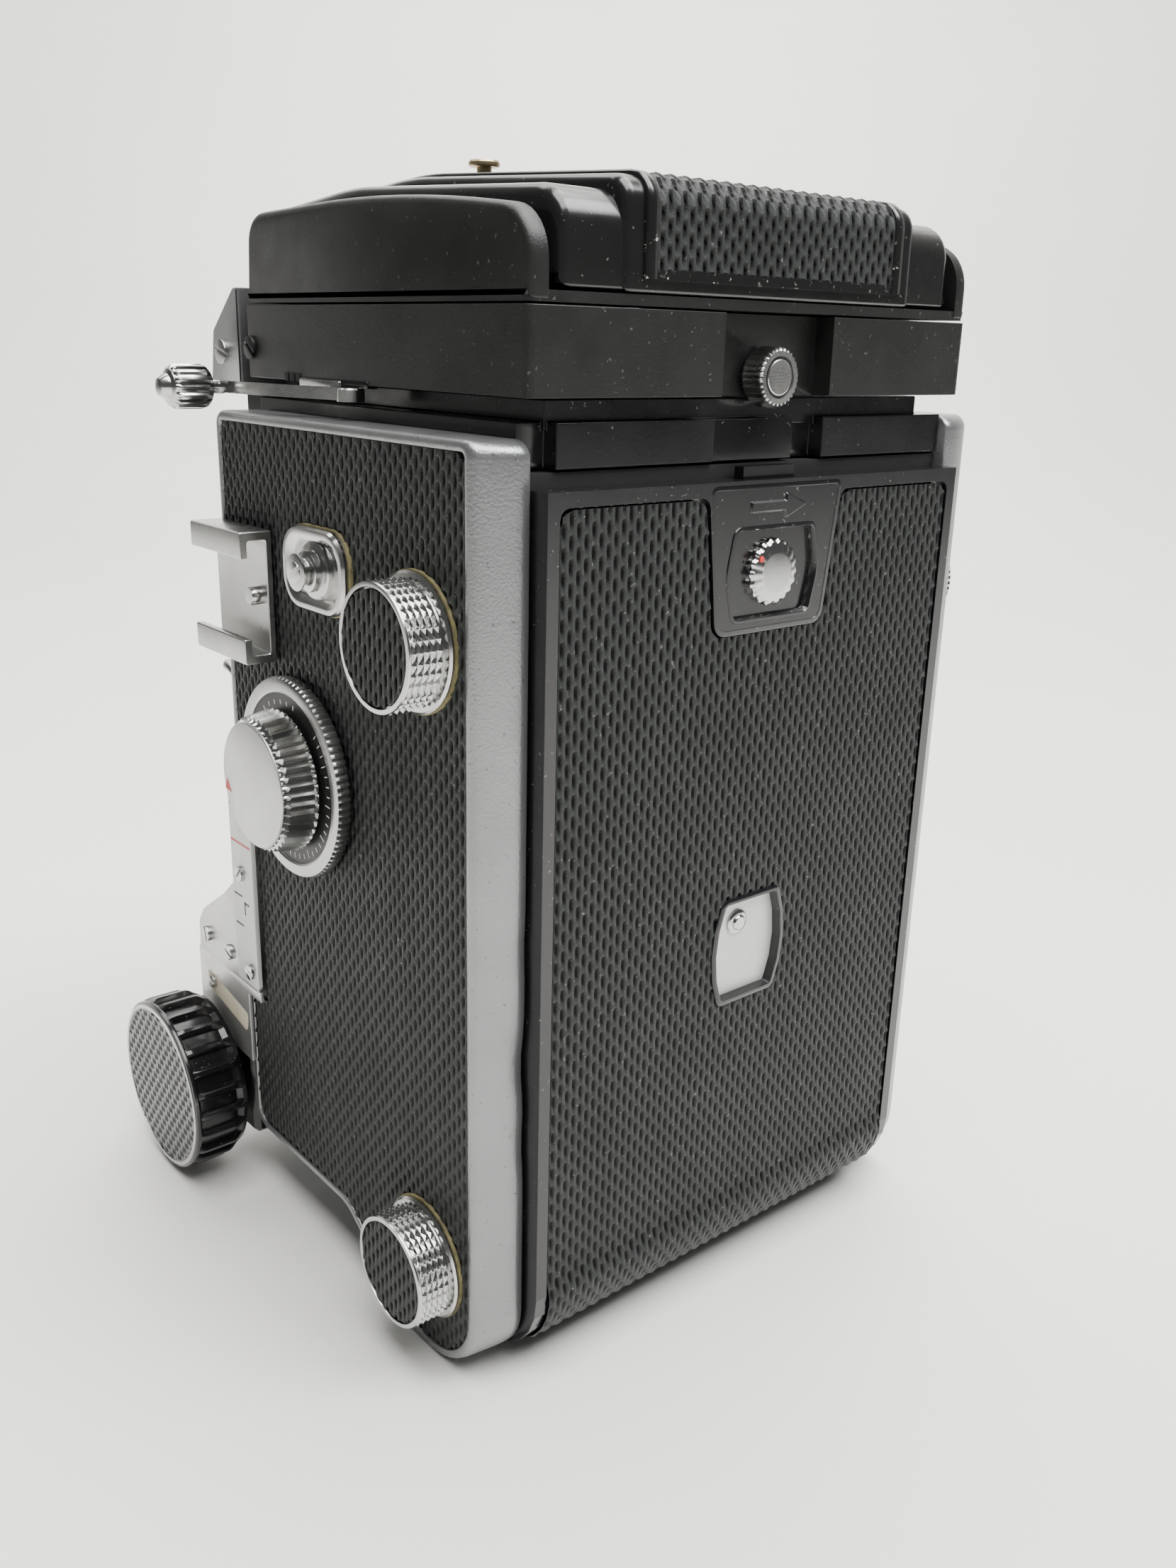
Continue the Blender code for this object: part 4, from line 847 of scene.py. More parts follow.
def focus_knobs():
    for name, side in (("left_focus_knob", 1), ("right_focus_knob", -1)):
        axis = side_axis(side)
        centre = (0, FOCUS_Y, FOCUS_Z)
        r, out, base = FOCUS_R, FOCUS_OUT, FOCUS_IN
        shape = Shape()
        shape.turned([(2.9, base), (12.0, base), (14.2, base + 0.3), (14.6, base + 1.2),
                      (r - 0.35, base + 2.2), (r - 0.05, base + 2.9), (r, base + 3.6), (r, out - 2.3),
                      (r - 0.1, out - 1.5), (r - 0.35, out - 0.9)], axis, centre, GLOSS, 288,
                     fluted(24, 1.15, 4, 8, 0.36, 5.0))
        shape.turned([(r - 1.3, out - 1.2), (r - 0.35, out - 1.1), (r - 0.2, out - 0.75),
                      (r - 0.3, out - 0.35), (14.9, out - 0.1), (14.8, out - 0.1)], axis, centre, GLOSS, 96)
        shape.turned([(14.95, out - 0.5), (14.95, out - 0.05), (14.8, out), (14.3, out), (14.15, out - 0.35),
                      (14.15, out - 0.9), (0, out - 0.9)], axis, centre, STEEL, 96)
        hide(shape, circle(FOCUS_Y, FOCUS_Z, 14.15, 96), lambda u, v, h: (side * (out - 0.5 + h), u, v))
        shape.place(f"{name}_turned", "focus_drive", [name], 30)
    shaft = Shape()
    shaft.turned([(2.5, -56), (2.5, 56)], "X", (0, FOCUS_Y, FOCUS_Z), STEEL, 48)
    for side in (-1, 1):
        shaft.turned([(2.5, 31.2), (4.4, 31.4), (4.4, 35.6), (2.5, 35.8)], side_axis(side),
                     (0, FOCUS_Y, FOCUS_Z), STEEL, 96, toothed(20, 0.5, 1, 2))
    shaft.place("focus_pinion_shaft", "focus_drive", ["focus_shaft"], 30)


def dial():
    """Film reminder: a fine-toothed bright ring round a black card with ticks and dots."""
    centre = (0, DIAL_Y, DIAL_Z)
    base = SEAT
    ring = Shape()
    ring.turned([(2.2, base), (14.7, base), (15.3, base + 0.35), (15.4, base + 0.9), (15.4, base + 1.9),
                 (15.1, base + 2.3), (14.6, base + 2.5), (13.4, base + 2.5), (13.1, base + 2.3),
                 (13.0, base + 2.0)], "X", centre, STEEL, 528, toothed(88, 0.42, 2, 4))
    ring.turned([(13.2, base + 1.8), (13.1, base + 2.15), (2.2, base + 2.15)], "X", centre, MATT, 96)
    for index in range(28):
        angle = math.radians(-150 + index * 7.2)
        long = 1.25 if index % 4 == 0 else 0.8
        mark(ring, centre, angle, 12.4 - long, 12.4, 0.14, base + 2.15, WHITE)
    for index in range(6):
        angle = math.radians(78 + index * 9.5)
        mark(ring, centre, angle, 11.3, 12.0, 0.28, base + 2.15, WHITE)
    mark(ring, centre, math.radians(60), 10.9, 12.6, 1.5, base + 2.1, CREAM)
    ring.place("film_reminder_dial", "film_reminder_ring", ["film_reminder_ring"], 28)


def lens_lock():
    """Fluted knob over the film reminder, with a red pointer on its face."""
    centre = (0, DIAL_Y, DIAL_Z)
    base = SEAT
    knob = Shape()
    top = high("lens_lock_knob").x
    knob.turned([(1.8, 44.5), (1.8, base + 3.0), (10.6, base + 2.9), (10.8, base + 3.15), (10.7, base + 3.7),
                 (10.2, top - 1.2), (9.75, top - 0.75), (9.5, top - 0.25)], "X", centre, CHROME, 450,
                toothed(45, 0.75, 3, 6))
    knob.turned([(9.4, top - 0.4), (9.35, top - 0.1), (9.1, top), (0, top)], "X", centre, ALUMINIUM, 72)
    pointer = [Vector((DIAL_Y - 8.9, DIAL_Z - 2.6)), Vector((DIAL_Y - 8.1, DIAL_Z - 0.9)),
               Vector((DIAL_Y - 6.9, DIAL_Z - 2.9))]
    knob.slab(pointer, "X", top - 0.1, top + 0.02, RED)
    knob.place("lens_lock_turned", "lens_lock_knob", ["lens_lock_knob"], 26)


def tick(shape, outline, axis, height, mat):
    """Flat mark that stands a little proud of the face at height."""
    shape.slab(outline, axis, height - 0.05, height + 0.03, mat)


def mark(shape, centre, angle, inner, outer, width, height, mat, axis="X"):
    """Thin raised mark that points outwards on a dial's face."""
    out = Vector((math.cos(angle), math.sin(angle)))
    across = Vector((-out.y, out.x)) * width / 2
    place = {"X": (1, 2), "-X": (1, 2), "Y": (0, 2), "-Y": (0, 2)}[axis]
    middle_at = Vector((centre[place[0]], centre[place[1]]))
    line = [middle_at + out * r + across * s for r, s in ((inner, -1), (outer, -1), (outer, 1), (inner, 1))]
    tick(shape, line, axis, height, mat)


def shoe():
    low_y, high_y = low("accessory_shoe").y, high("accessory_shoe").y
    low_z, high_z = low("accessory_shoe").z, high("accessory_shoe").z
    base, face = SEAT, high("accessory_shoe").x
    shape = Shape()
    section = rounded([(base, low_z, 0), (face, low_z, 0.35), (face, low_z + 3.8, 0.25),
                       (face - 1.2, low_z + 3.8, 0.2), (face - 1.2, low_z + 1.3, 0.4),
                       (base + 1.0, low_z + 1.3, 0.3), (base + 1.0, high_z - 1.3, 0.3),
                       (face - 1.2, high_z - 1.3, 0.4), (face - 1.2, high_z - 3.8, 0.2),
                       (face, high_z - 3.8, 0.25), (face, high_z, 0.35), (base, high_z, 0)], 3)
    contoured(shape, section, "Y", [(low_y, 0.12), (low_y + 0.15, 0.0), (high_y - 0.15, 0.0), (high_y, 0.12)],
              STEEL)
    shape.turned([(1.35, 0), (1.35, 1.5), (1.15, 1.85), (0, 1.9)], "X", (base + 0.9, -53.0, 109.6), CHROME,
                 28)
    shape.place("accessory_shoe_channel", "camera_body", ["accessory_shoe"], 30)


def strap_lug(side, name):
    """Pressed oval plate with a dished middle round a stepped stud."""
    axis = side_axis(side)
    base = SEAT
    outline = rectangle(low(name).y, high(name).y, low(name).z, high(name).z, 4.6, 8)
    shape = Shape()
    contoured(shape, outline, axis, [(base - 0.5, 0.0), (base + 0.5, 0.0), (base + 0.95, 0.3),
                                     (base + 1.05, 0.9), (base + 0.95, 1.3), (base + 0.2, 2.3),
                                     (base + 0.1, 3.2)], CHROME)
    stud_y, stud_z = middle(name).y, middle(name).z
    centre = (0, stud_y, stud_z)
    shape.turned([(4.1, base + 0.0), (4.1, base + 0.5), (3.9, base + 0.7), (3.0, base + 0.9),
                  (2.9, base + 1.8), (2.6, base + 2.0), (1.9, base + 2.1), (1.8, base + 2.9),
                  (2.5, base + 3.1), (2.6, base + 3.4), (2.3, base + 3.5)], axis, centre, CHROME, 48)
    slot_screw(shape, side, stud_y, stud_z, base + 3.3, 1.5, 2.1, CHROME, 0.35)
    shape.place(f"{name}_plate", "camera_body", [name], 30)


def distance_scale():
    """Bed plates, bracket and distance strip on the left of the focusing bed, with their screws."""
    base = SEAT
    shape = Shape()
    lower = [Vector(p) for p in ((-85.7, 25.0), (-66.0, 25.0), (-66.0, 38.2), (-61.4, 38.2), (-61.4, 40.1),
                                 (-85.7, 40.1))]
    shape.slab(lower, "X", base, base + 0.6, ALUMINIUM, 0.12)
    bracket = rounded([(-84.9, 39.9, 0.3), (-84.6, 45.6, 1.8), (-82.3, 48.6, 2.0), (-73.4, 54.5, 2.0),
                       (-69.5, 57.8, 1.0), (-68.4, 57.8, 0.3), (-68.4, 47.0, 0.3), (-62.0, 47.0, 0.3),
                       (-62.0, 39.9, 0.3)], 4)
    shape.slab(bracket, "X", base, base + 0.7, ALUMINIUM, 0.15)
    strip = rectangle(-68.9, -61.4, 40.5, 82.0, 0.8)
    shape.slab(strip, "X", base + 0.1, base + 0.9, PLATE, 0.15)
    for y, z, turn in ((-80.8, 44.2, 0.3), (-72.0, 43.9, 1.2)):
        slot_screw(shape, 1, y, z, base + 0.7, 1.35, turn)
    for y, z, turn in ((-65.4, 60.8, 2.4), (-63.5, 43.4, 1.0)):
        slot_screw(shape, 1, y, z, base + 0.9, 1.3, turn)
    slotted = rounded([(-82.6, 36.9, 0.9), (-81.9, 33.2, 0.9), (-67.3, 30.2, 0.9), (-66.6, 33.9, 0.9)], 4)
    shape.slab(slotted, "X", base + 0.55, base + 0.62, CREAM)
    shape.turned([(1.1, 0), (1.1, 0.7), (0.9, 0.9), (0, 0.95)], "X", (base + 0.55, -80.0, 35.0), STEEL, 24)
    shape.place("side_plates_finished", "camera_body", ["side_plates"], 30)


def distance_marks():
    """Plain marks on the face of the distance strip."""
    marks = Shape()
    top = SEAT + 0.9
    tick(marks, rectangle(-68.6, -61.7, 66.05, 66.4), "X", top, RED)
    for z in (72.5, 78.0, 56.4, 51.0):
        tick(marks, rectangle(-68.4, -65.6, z, z + 0.3), "X", top, MATT)
    ring_mark(marks, -64.0, 69.6, 0.75, top)
    tick(marks, rectangle(-64.9, -64.5, 53.4, 55.8), "X", top, MATT)
    tick(marks, rectangle(-64.9, -63.1, 55.4, 55.8), "X", top, MATT)
    marks.place("distance_marks", "camera_body", (), 30)


def ring_mark(shape, y, z, radius, height):
    outer = circle(y, z, radius, 24)
    inner = circle(y, z, radius * 0.6, 24)
    to_axis = AXES["X"]
    levels = [(outer, height - 0.05), (outer, height + 0.03), (inner, height + 0.03), (inner, height - 0.05)]
    rings = [[to_axis(p.x, p.y, h) for p in line] for line, h in levels]
    shape.loops(rings, MATT, caps=OPEN)


# ---------------------------------------------------------------- finder
CHEEK_IN, CHEEK_OUT = 38.4, 41.2
HOOD_LOW = 151.0
LID_HALF, SHOULDER_HALF = 27.4, 36.6


def deck():
    refined("top_deck", GLOSS, 0.3, 3)


def finder_base():
    refined("finder_base", MATT, 0.35, 3)
    shape = Shape()
    shape.slab(rectangle(-51.5, -33.0, 139.9, 140.9, 0.3), "X", BASE_HALF - 1.5, BASE_HALF + 0.15, GLOSS, 0.1)
    shape.slab(rectangle(-51.3, -40.0, 139.6, 140.7, 0.3), "X", BASE_HALF - 1.0, BASE_HALF + 0.5, STEEL, 0.1)
    for y in (-56.4, -54.6, -52.8):
        shape.slab(rectangle(y, y + 1.0, 140.2, 141.4, 0.2), "X", BASE_HALF - 1.0, BASE_HALF + 0.12, INNER)
    for side, turn in ((1, 0.9), (-1, 0.4)):
        slot_screw(shape, side, -67.0, 144.6, BASE_HALF - 0.1, 1.7, turn, MATT, 0.6)
    shape.place("finder_base_fittings", "camera_body", (), 30)


def finder_screw():
    """Milled screw that holds the finder, with a ring groove in its face whose floor carries painted shade.
    """
    centre = (0, 0, SCREW_Z)
    face = high("finder_thumbscrew").y
    screw = Shape()
    screw.turned([(1.4, -6.0), (1.4, -0.5), (3.3, -0.5), (3.6, 0.0), (3.95, 0.3), (3.95, face - 0.5),
                  (3.75, face - 0.15), (3.4, face), (2.75, face), (2.65, face - 0.35), (2.35, face - 0.35)],
                 "Y", centre, STEEL, 240, toothed(30, 0.42, 4, 6))
    # Near-black ring laid in the groove: painted shade on the groove's floor.
    screw.turned([(2.75, face - 0.3), (2.3, face - 0.28)], "Y", centre, INNER, 48)
    screw.turned([(2.35, face - 0.5), (2.33, face - 0.08), (2.2, face), (0, face)], "Y", centre, STEEL, 48)
    screw.place("finder_screw_turned", "finder_thumbscrew", ["finder_thumbscrew"], 28)


def hood():
    """Frame with two rounded cheeks."""
    shape = Shape()
    y0, y1 = -68.2, 2.2
    outer = rectangle(-41.2, 41.2, y0, y1, 1.2)
    inner = rectangle(-31.5, 31.5, -63.5, -6.0, 2.0)
    levels = (HOOD_LOW, HOOD_LOW + 1.3)
    for z in levels:
        bridge(shape, outer, inner, "Z", z, MATT)
    for line in (outer, inner):
        shape.loops([[(p.x, p.y, z) for p in line] for z in levels], MATT, caps=OPEN)
    cheek = rounded([(-68.2, HOOD_LOW + 0.2, 0.4), (-67.0, 163.4, 4.5), (-26.0, 164.5, 300.0),
                     (2.2, 161.2, 6.5), (2.3, HOOD_LOW + 0.2, 0.4)], 8)
    for side in (-1, 1):
        axis = side_axis(side)
        contoured(shape, cheek, axis, [(CHEEK_IN, 0.0), (CHEEK_OUT - 1.1, 0.0), (CHEEK_OUT - 0.6, 0.16),
                                       (CHEEK_OUT - 0.2, 0.5), (CHEEK_OUT, 1.1)], MATT)
    shape.place("hood_frame_pressed", "camera_body", ["hood_frame"], 40)


def hood_lid():
    """Pressed lid with lower shoulders, a crown and a leather inset in a raised frame."""
    lid = Shape()
    shoulder = rounded([(-66.4, 153.4, 0.4), (-66.0, 164.4, 4.0), (-45.0, 166.2, 60.0), (1.9, 163.9, 5.0),
                        (2.1, 152.7, 0.4), (-59.0, 152.7, 1.0), (-60.0, 153.4, 1.0)], 8)
    centre_line = rounded([(-66.6, 153.4, 0.4), (-66.4, 166.2, 3.5), (-45.0, 168.2, 70.0), (2.4, 165.6, 3.2),
                           (2.55, 152.5, 0.4), (-59.0, 152.5, 1.0), (-60.0, 153.4, 1.0)], 8)
    for side in (-1, 1):
        axis = side_axis(side)
        contoured(lid, shoulder, axis, [(0.5, 0.05), (SHOULDER_HALF - 1.5, 0.0), (SHOULDER_HALF - 0.8, 0.2),
                                        (SHOULDER_HALF - 0.25, 0.7), (SHOULDER_HALF, 1.5)], LID_BLACK)
    contoured(lid, centre_line, "X", [(-LID_HALF, 1.2), (-LID_HALF + 0.25, 0.5), (-LID_HALF + 0.9, 0.05),
                                      (-LID_HALF + 1.6, 0.0), (LID_HALF - 1.6, 0.0), (LID_HALF - 0.9, 0.05),
                                      (LID_HALF - 0.25, 0.5), (LID_HALF, 1.2)], LID_BLACK)
    lid.place("hood_lid_pressed", "hood_lid", ["hood_lid"], 40)

    grain = Shape()
    path = polyline([Vector((2.52, 153.9))] + spine_between(centre_line))
    length = path[-1][0]
    panel = rounded([(-22.3, 0.2, 1.2), (22.3, 0.2, 1.2), (22.3, length - 2.0, 1.2),
                     (-22.3, length - 2.0, 1.2)], 5)
    hide(grain, panel, lambda u, v, h: lifted(path, u, v, h + 0.02))
    for side in (-1, 1):
        strip(grain, path, side * 22.35, side * 24.2, 0.2, length - 1.0, 0.62, LID_BLACK)
    strip(grain, path, -23.0, 23.0, 0.1, 1.3, 0.6, LID_BLACK)
    grain.place("hood_lid_grain", "hood_lid", (), 60)


def strip(shape, path, u0, u1, d0, d1, height, mat):
    """Raised band that follows a section line from distance d0 to d1."""
    stops = [d0] + [d for d, _ in path if d0 + 0.1 < d < d1 - 0.1] + [d1]
    corners = ((u0, -0.5), (u0, height - 0.3), (u0 * 0.9 + u1 * 0.1, height), (u0 * 0.1 + u1 * 0.9, height),
               (u1, height - 0.3), (u1, -0.5))
    rings = [[lifted(path, u, d, h) for u, h in corners] for d in stops]
    shape.loops(rings, mat)


def spine_between(outline):
    """The rear face and top of the lid's section, from the rear foot over to the front."""
    top = [p for p in outline if p.y > 160.0]
    return sorted(top, key=lambda p: (-round(p.x, 3), p.y))


def polyline(points):
    """(distance, point) pairs along a section line."""
    path = [(0.0, points[0])]
    for a, b in zip(points, points[1:]):
        if (b - a).length > 1e-6:
            path.append((path[-1][0] + (b - a).length, b))
    return path


def lifted(path, u, distance, height):
    """Point over a section line at a distance along it, raised along the line's normal."""
    for (d0, a), (d1, b) in zip(path, path[1:]):
        if distance <= d1 or d1 == path[-1][0]:
            share = (distance - d0) / (d1 - d0)
            along = (b - a).normalized()
            point = a + (b - a) * share + Vector((along.y, -along.x)) * height
            return (u, point.x, point.y)


def hood_button():
    name = "hood_button"
    x, y, top = middle(name).x, middle(name).y, high(name).z
    shape = Shape()
    shape.turned([(2.3, -12.8), (2.4, -11.6), (1.2, -11.6), (1.2, -1.1), (2.3, -1.0), (2.52, -0.8),
                  (2.52, -0.35), (2.3, -0.05), (1.9, 0), (1.75, -0.25), (0, -0.3)], "Z", (x, y, top), BRASS,
                 48)
    shape.place("hood_button_turned", name, [name], 28)


def brow():
    """Grey plate over the lenses with bent sides, and the screws at its ends."""
    front, rear = -82.0, -70.9
    side_line = rounded([(rear, 137.8, 0.2), (front, 137.8, 1.0), (-80.3, 147.2, 1.6), (-72.9, 153.3, 1.0),
                         (rear, 153.3, 0.2)], 5)
    shape = Shape()
    half = high("front_brow").x
    contoured(shape, side_line, "X", [(-half, 0.5), (-half + 0.3, 0.1), (-half + 0.8, 0.0), (half - 0.8, 0.0),
                                      (half - 0.3, 0.1), (half, 0.5)], SILVER)
    shape.slab(rectangle(-39.0, 39.0, -74.0, COVER_FRONT - 0.3), "Z", 134.8, 138.2, GLOSS, 0.2)
    for side in (-1, 1):
        slot_screw(shape, side, -77.0, 143.8, half - 0.05, 1.9, 1.3 * side, STEEL, 0.55)
    shape.place("front_brow_pressed", "camera_body", ["front_brow"], 40)


def side_lever():
    name = "finder_side_lever"
    z0, z1 = 138.2, 139.9
    strip = [(41.8, -37.0), (43.3, -42.0), (44.6, -46.4), (45.5, -49.4), (46.2, -52.6), (46.8, -56.5),
             (47.4, -61.5), (47.7, -64.2)]
    centre_line = [Vector(p) for p in strip]
    half = 0.45
    shape = Shape()
    rings = []
    for index, point in enumerate(centre_line):
        ahead = (centre_line[min(index + 1, len(strip) - 1)] - centre_line[max(index - 1, 0)]).normalized()
        across = Vector((ahead.y, -ahead.x))
        rings.append([(point.x + across.x * s * half, point.y + across.y * s * half, z) for s,
                      z in ((-1, z0), (1, z0), (1, z1), (-1, z1))])
    shape.loops(rings, CHROME)
    shape.turned([(1.9, z0 - 0.1), (1.9, z1 - 0.2), (1.7, z1), (0, z1)], "Z", (41.8, -37.0, 0), CHROME, 32)
    centre = (0, -65.0, 139.0)
    shape.turned([(1.0, 47.2), (1.05, 49.6), (1.5, 49.9), (2.6, 49.9), (3.0, 50.3), (3.2, 50.9), (3.2, 54.9),
                  (3.0, 55.4), (2.6, 55.7)], "X", centre, CHROME, 128, fluted(16, 0.35, 4, 7, 0.5, 3))
    shape.turned([(2.7, 55.5), (2.55, 55.8), (1.9, 56.1), (1.7, 56.6), (1.2, 57.3), (0, 57.6)], "X", centre,
                 CHROME, 40)
    shape.place("finder_lever_bent", name, [name], 32)


def hood_inside():
    for node in ("left_hood_leaf", "right_hood_leaf", "rear_hood_leaf"):
        refined(node, MATT, 0.12, 2)
    shape = Shape()
    name = "magnifier"
    y, z0, z1 = -16.0, low(name).z, high(name).z
    rings = [(13.4, z0), (13.4, z1 - 0.3), (13.1, z1), (11.6, z1), (11.3, z1 - 0.3), (11.3, z0 + 0.2),
             (11.6, z0), (13.4, z0)]
    shape.ring(rings, "Z", (0, y, 0), MATT)
    shape.slab(rectangle(-5.0, 5.0, low(name).y, -27.2, 0.8), "Z", z0 + 0.2, z1 - 0.1, MATT, 0.2)
    shape.turned([(11.35, z0 + 0.5), (9.0, z0 + 0.32), (5.0, z0 + 0.12), (0, z0 + 0.05), (0, z1 + 0.1),
                  (5.0, z1 + 0.02), (9.0, z1 - 0.3), (11.35, z1 - 0.6)], "Z", (0, y, 0), CLEAR, 64)
    shape.place("magnifier_ring", name, [name], 32)


def focusing_screen():
    screen = Shape()
    lo, hi = low("focusing_screen"), high("focusing_screen")
    screen.slab(rectangle(lo.x, hi.x, lo.y, hi.y, 0.4), "Z", lo.z, hi.z, GROUND, 0.2)
    screen.place("focusing_screen_glass", "camera_body", ["focusing_screen"], 32)


# ---------------------------------------------------------------- front
def bellows():
    """Pleated cloth between the body and the standard."""
    rear, front = COVER_FRONT - 0.35, high("front_standard").y + 0.02
    pleats = 5
    rings = []
    for index in range(pleats * 2 + 1):
        y = rear + (front - rear) * index / (pleats * 2)
        reach = 3.4 if index % 2 else 0.0
        line = rectangle(-36.0 + reach, 36.0 - reach, 29.5 + reach, 132.0 - reach, 2.5, 4)
        rings.append([(p.x, y, p.y) for p in line])
    obj = Shape().loops(rings, CLOTH, caps=OPEN).built("bellows_pleats", 40)
    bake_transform(obj)
    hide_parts("bellows_fold_1", "bellows_fold_2")


def filled(lines):
    """Points and triangles that fill the first outline and leave the others open."""
    bm = bmesh.new()
    for line in lines:
        verts = [bm.verts.new((p[0], p[1], 0.0)) for p in line]
        for a, b in zip(verts, verts[1:] + verts[:1]):
            bm.edges.new((a, b))
    bmesh.ops.triangle_fill(bm, use_beauty=True, edges=bm.edges)
    bm.verts.index_update()
    flat = [v.co.copy() for v in bm.verts]
    faces = [tuple(v.index for v in f.verts) for f in bm.faces]
    bm.free()
    return flat, faces


def holed_plate(shape, outline, holes, axis, base, top, mat, edge=0.4):
    """Plate with holes: faces come from a filled outline, so the openings stay open."""
    to_axis = AXES[axis]
    flat, faces = filled([inset(outline, edge)] + holes)
    shape.add([to_axis(p.x, p.y, top) for p in flat], faces, mat)
    contoured(shape, outline, axis, [(base, 0.0), (top - edge, 0.0), (top - edge * 0.3, edge * 0.3),
                                     (top, edge)], mat, caps=OPEN)
    for hole in holes:
        shape.loops([[to_axis(p[0], p[1], h) for p in hole] for h in (base, top)], mat, caps=OPEN)
    flat, faces = filled([outline] + holes)
    return shape.add([to_axis(p.x, p.y, base) for p in flat], faces, mat)


def standard():
    front, rear = -low("front_standard").y, -high("front_standard").y
    shape = Shape()
    holes = [rectangle(-24.0, 24.0, 93.5, 130.0, 3.0), rectangle(-29.0, 29.0, 34.0, 90.5, 3.0)]
    holed_plate(shape, rectangle(-38.0, 38.0, 27.4, 133.5, 3.0, 6), holes, "-Y", rear, front, GLOSS, 0.5)
    for side in (-1, 1):
        shape.turned([(0.9, 37.5), (0.9, 41.0), (1.5, 41.1), (1.5, 41.5), (0, 41.6)], side_axis(side),
                     (0, -81.0, 50.0), STEEL, 24)
    shape.place("standard_frame", "front_standard", ["front_standard"], 32)


def focus_rails():
    """Two toothed racks under the standard, joined by a cross bar at the front."""
    rails = Shape()
    for side in (-1, 1):
        x0, x1 = sorted((side * 31.0, side * 36.0))
        teeth = []
        for index in range(46):
            y = -83.0 + index * 1.15
            teeth += [Vector((y, 22.6)), Vector((y + 0.35, 22.0)), Vector((y + 0.7, 22.0)),
                      Vector((y + 1.05, 22.6))]
        line = [Vector((-86.0, 22.0))] + teeth + [Vector((-29.0, 22.0)), Vector((-29.0, 27.0)),
                                                  Vector((-86.0, 27.0))]
        to_axis = AXES["X"]
        rails.loops([[to_axis(p.x, p.y, h) for p in line] for h in (x0, x1)], STEEL)
    rails.slab(rectangle(-31.2, 31.2, -86.0, -83.0, 0.5), "Z", 22.0, 27.0, STEEL, 0.3)
    rails.place("focus_rack_rails", "front_standard", ["focus_rails"], 32)


def lens_board():
    """Plate that carries both lenses, with a screw at each corner."""
    board = Shape()
    rear, front = -high("lens_board").y, -low("lens_board").y
    outline = rectangle(-37.0, 37.0, 30.0, 132.6, 5.0, 8)
    holed_plate(board, outline, [circle(0, VIEWING_Z, 15.5, 64), circle(0, TAKING_Z, 17.5, 64)], "-Y", rear,
                front, GLOSS, 0.7)
    for x, z in ((-32.5, 34.5), (32.5, 34.5), (-32.5, 128.0), (32.5, 128.0)):
        board.screw((x, -front + 0.05, z), "-Y", 1.5, 0.5 + x, CHROME, 0.5)
    board.place("lens_board_plate", "front_standard", ["lens_board"], 32)


def numerals(shape, centre, radius, start, digits, height, mat, axis="-Y"):
    """Stroke numerals set round a ring; each digit is drawn from short bars."""
    strokes = {"0": "abcdef", "1": "bc", "2": "abged", "3": "abgcd", "4": "fgbc", "5": "afgcd", "6": "afgedc",
               "8": "abcdefg"}
    segments = {"a": ((-1, 2), (1, 2)), "b": ((1, 2), (1, 0)), "c": ((1, 0), (1, -2)),
                "d": ((-1, -2), (1, -2)), "e": ((-1, 0), (-1, -2)), "f": ((-1, 2), (-1, 0)),
                "g": ((-1, 0), (1, 0))}
    size = 0.32
    for index, text in enumerate(digits):
        angle = start + index * math.radians(21)
        out = Vector((math.cos(angle), math.sin(angle)))
        across = Vector((out.y, -out.x))
        for place, digit in enumerate(text):
            step = place - (len(text) - 1) / 2
            middle_at = Vector((centre[0], centre[2])) + out * radius + across * step * size * 3.4
            for stroke in strokes[digit]:
                a, b = (middle_at + across * p[0] * size + out * p[1] * size for p in segments[stroke])
                bar(shape, a, b, 0.16, axis, height, mat)


def bar(shape, a, b, width, axis, height, mat):
    along = (b - a).normalized()
    across = Vector((-along.y, along.x)) * width / 2
    line = [a - across - along * width / 2, b - across + along * width / 2, b + across + along * width / 2,
            a + across - along * width / 2]
    tick(shape, line, axis, height, mat)


LENS_SEAT = 86.8


def shutter():
    """Shutter housing with its speeds, the toothed speed ring and the cocking lever."""
    centre = (0, 0, TAKING_Z)
    housing = Shape()
    housing.ring([(15.8, LENS_SEAT), (24.1, LENS_SEAT), (24.4, 87.2), (24.4, 89.8), (23.4, 90.0),
                  (23.4, 94.6), (24.1, 94.7), (24.4, 95.0), (24.4, 95.9), (24.0, 96.4), (22.2, 97.0),
                  (15.8, 97.0), (15.8, LENS_SEAT)], "-Y", centre, GLOSS, 128)
    numerals(housing, centre, 19.2 + 1.6, math.radians(20), ["1", "2", "4", "8", "15", "30", "60"], 97.0,
             WHITE)
    housing.place("shutter_housing_turned", "front_standard", ["shutter_housing"], 32)

    ring = Shape()
    ring.ring([(23.8, 90.5), (25.2, 90.5), (25.6, 90.8), (25.6, 94.0), (25.2, 94.3), (23.8, 94.3),
               (23.8, 90.5)], "-Y", centre, CHROME, 480, toothed(120, 0.35, 2, 3))
    ring.place("shutter_ring_turned", "shutter_speed_ring", ["shutter_speed_ring"], 28)

    lever = Shape()
    lever.slab(rounded([(24.9, 60.2, 0), (29.5, 60.6, 1.0), (29.5, 63.4, 1.0), (24.9, 63.8, 0)], 5), "-Y",
               88.0, 89.2, CHROME, 0.3, True)
    lever.place("cocking_lever_bent", "cocking_lever", ["cocking_lever"], 32)


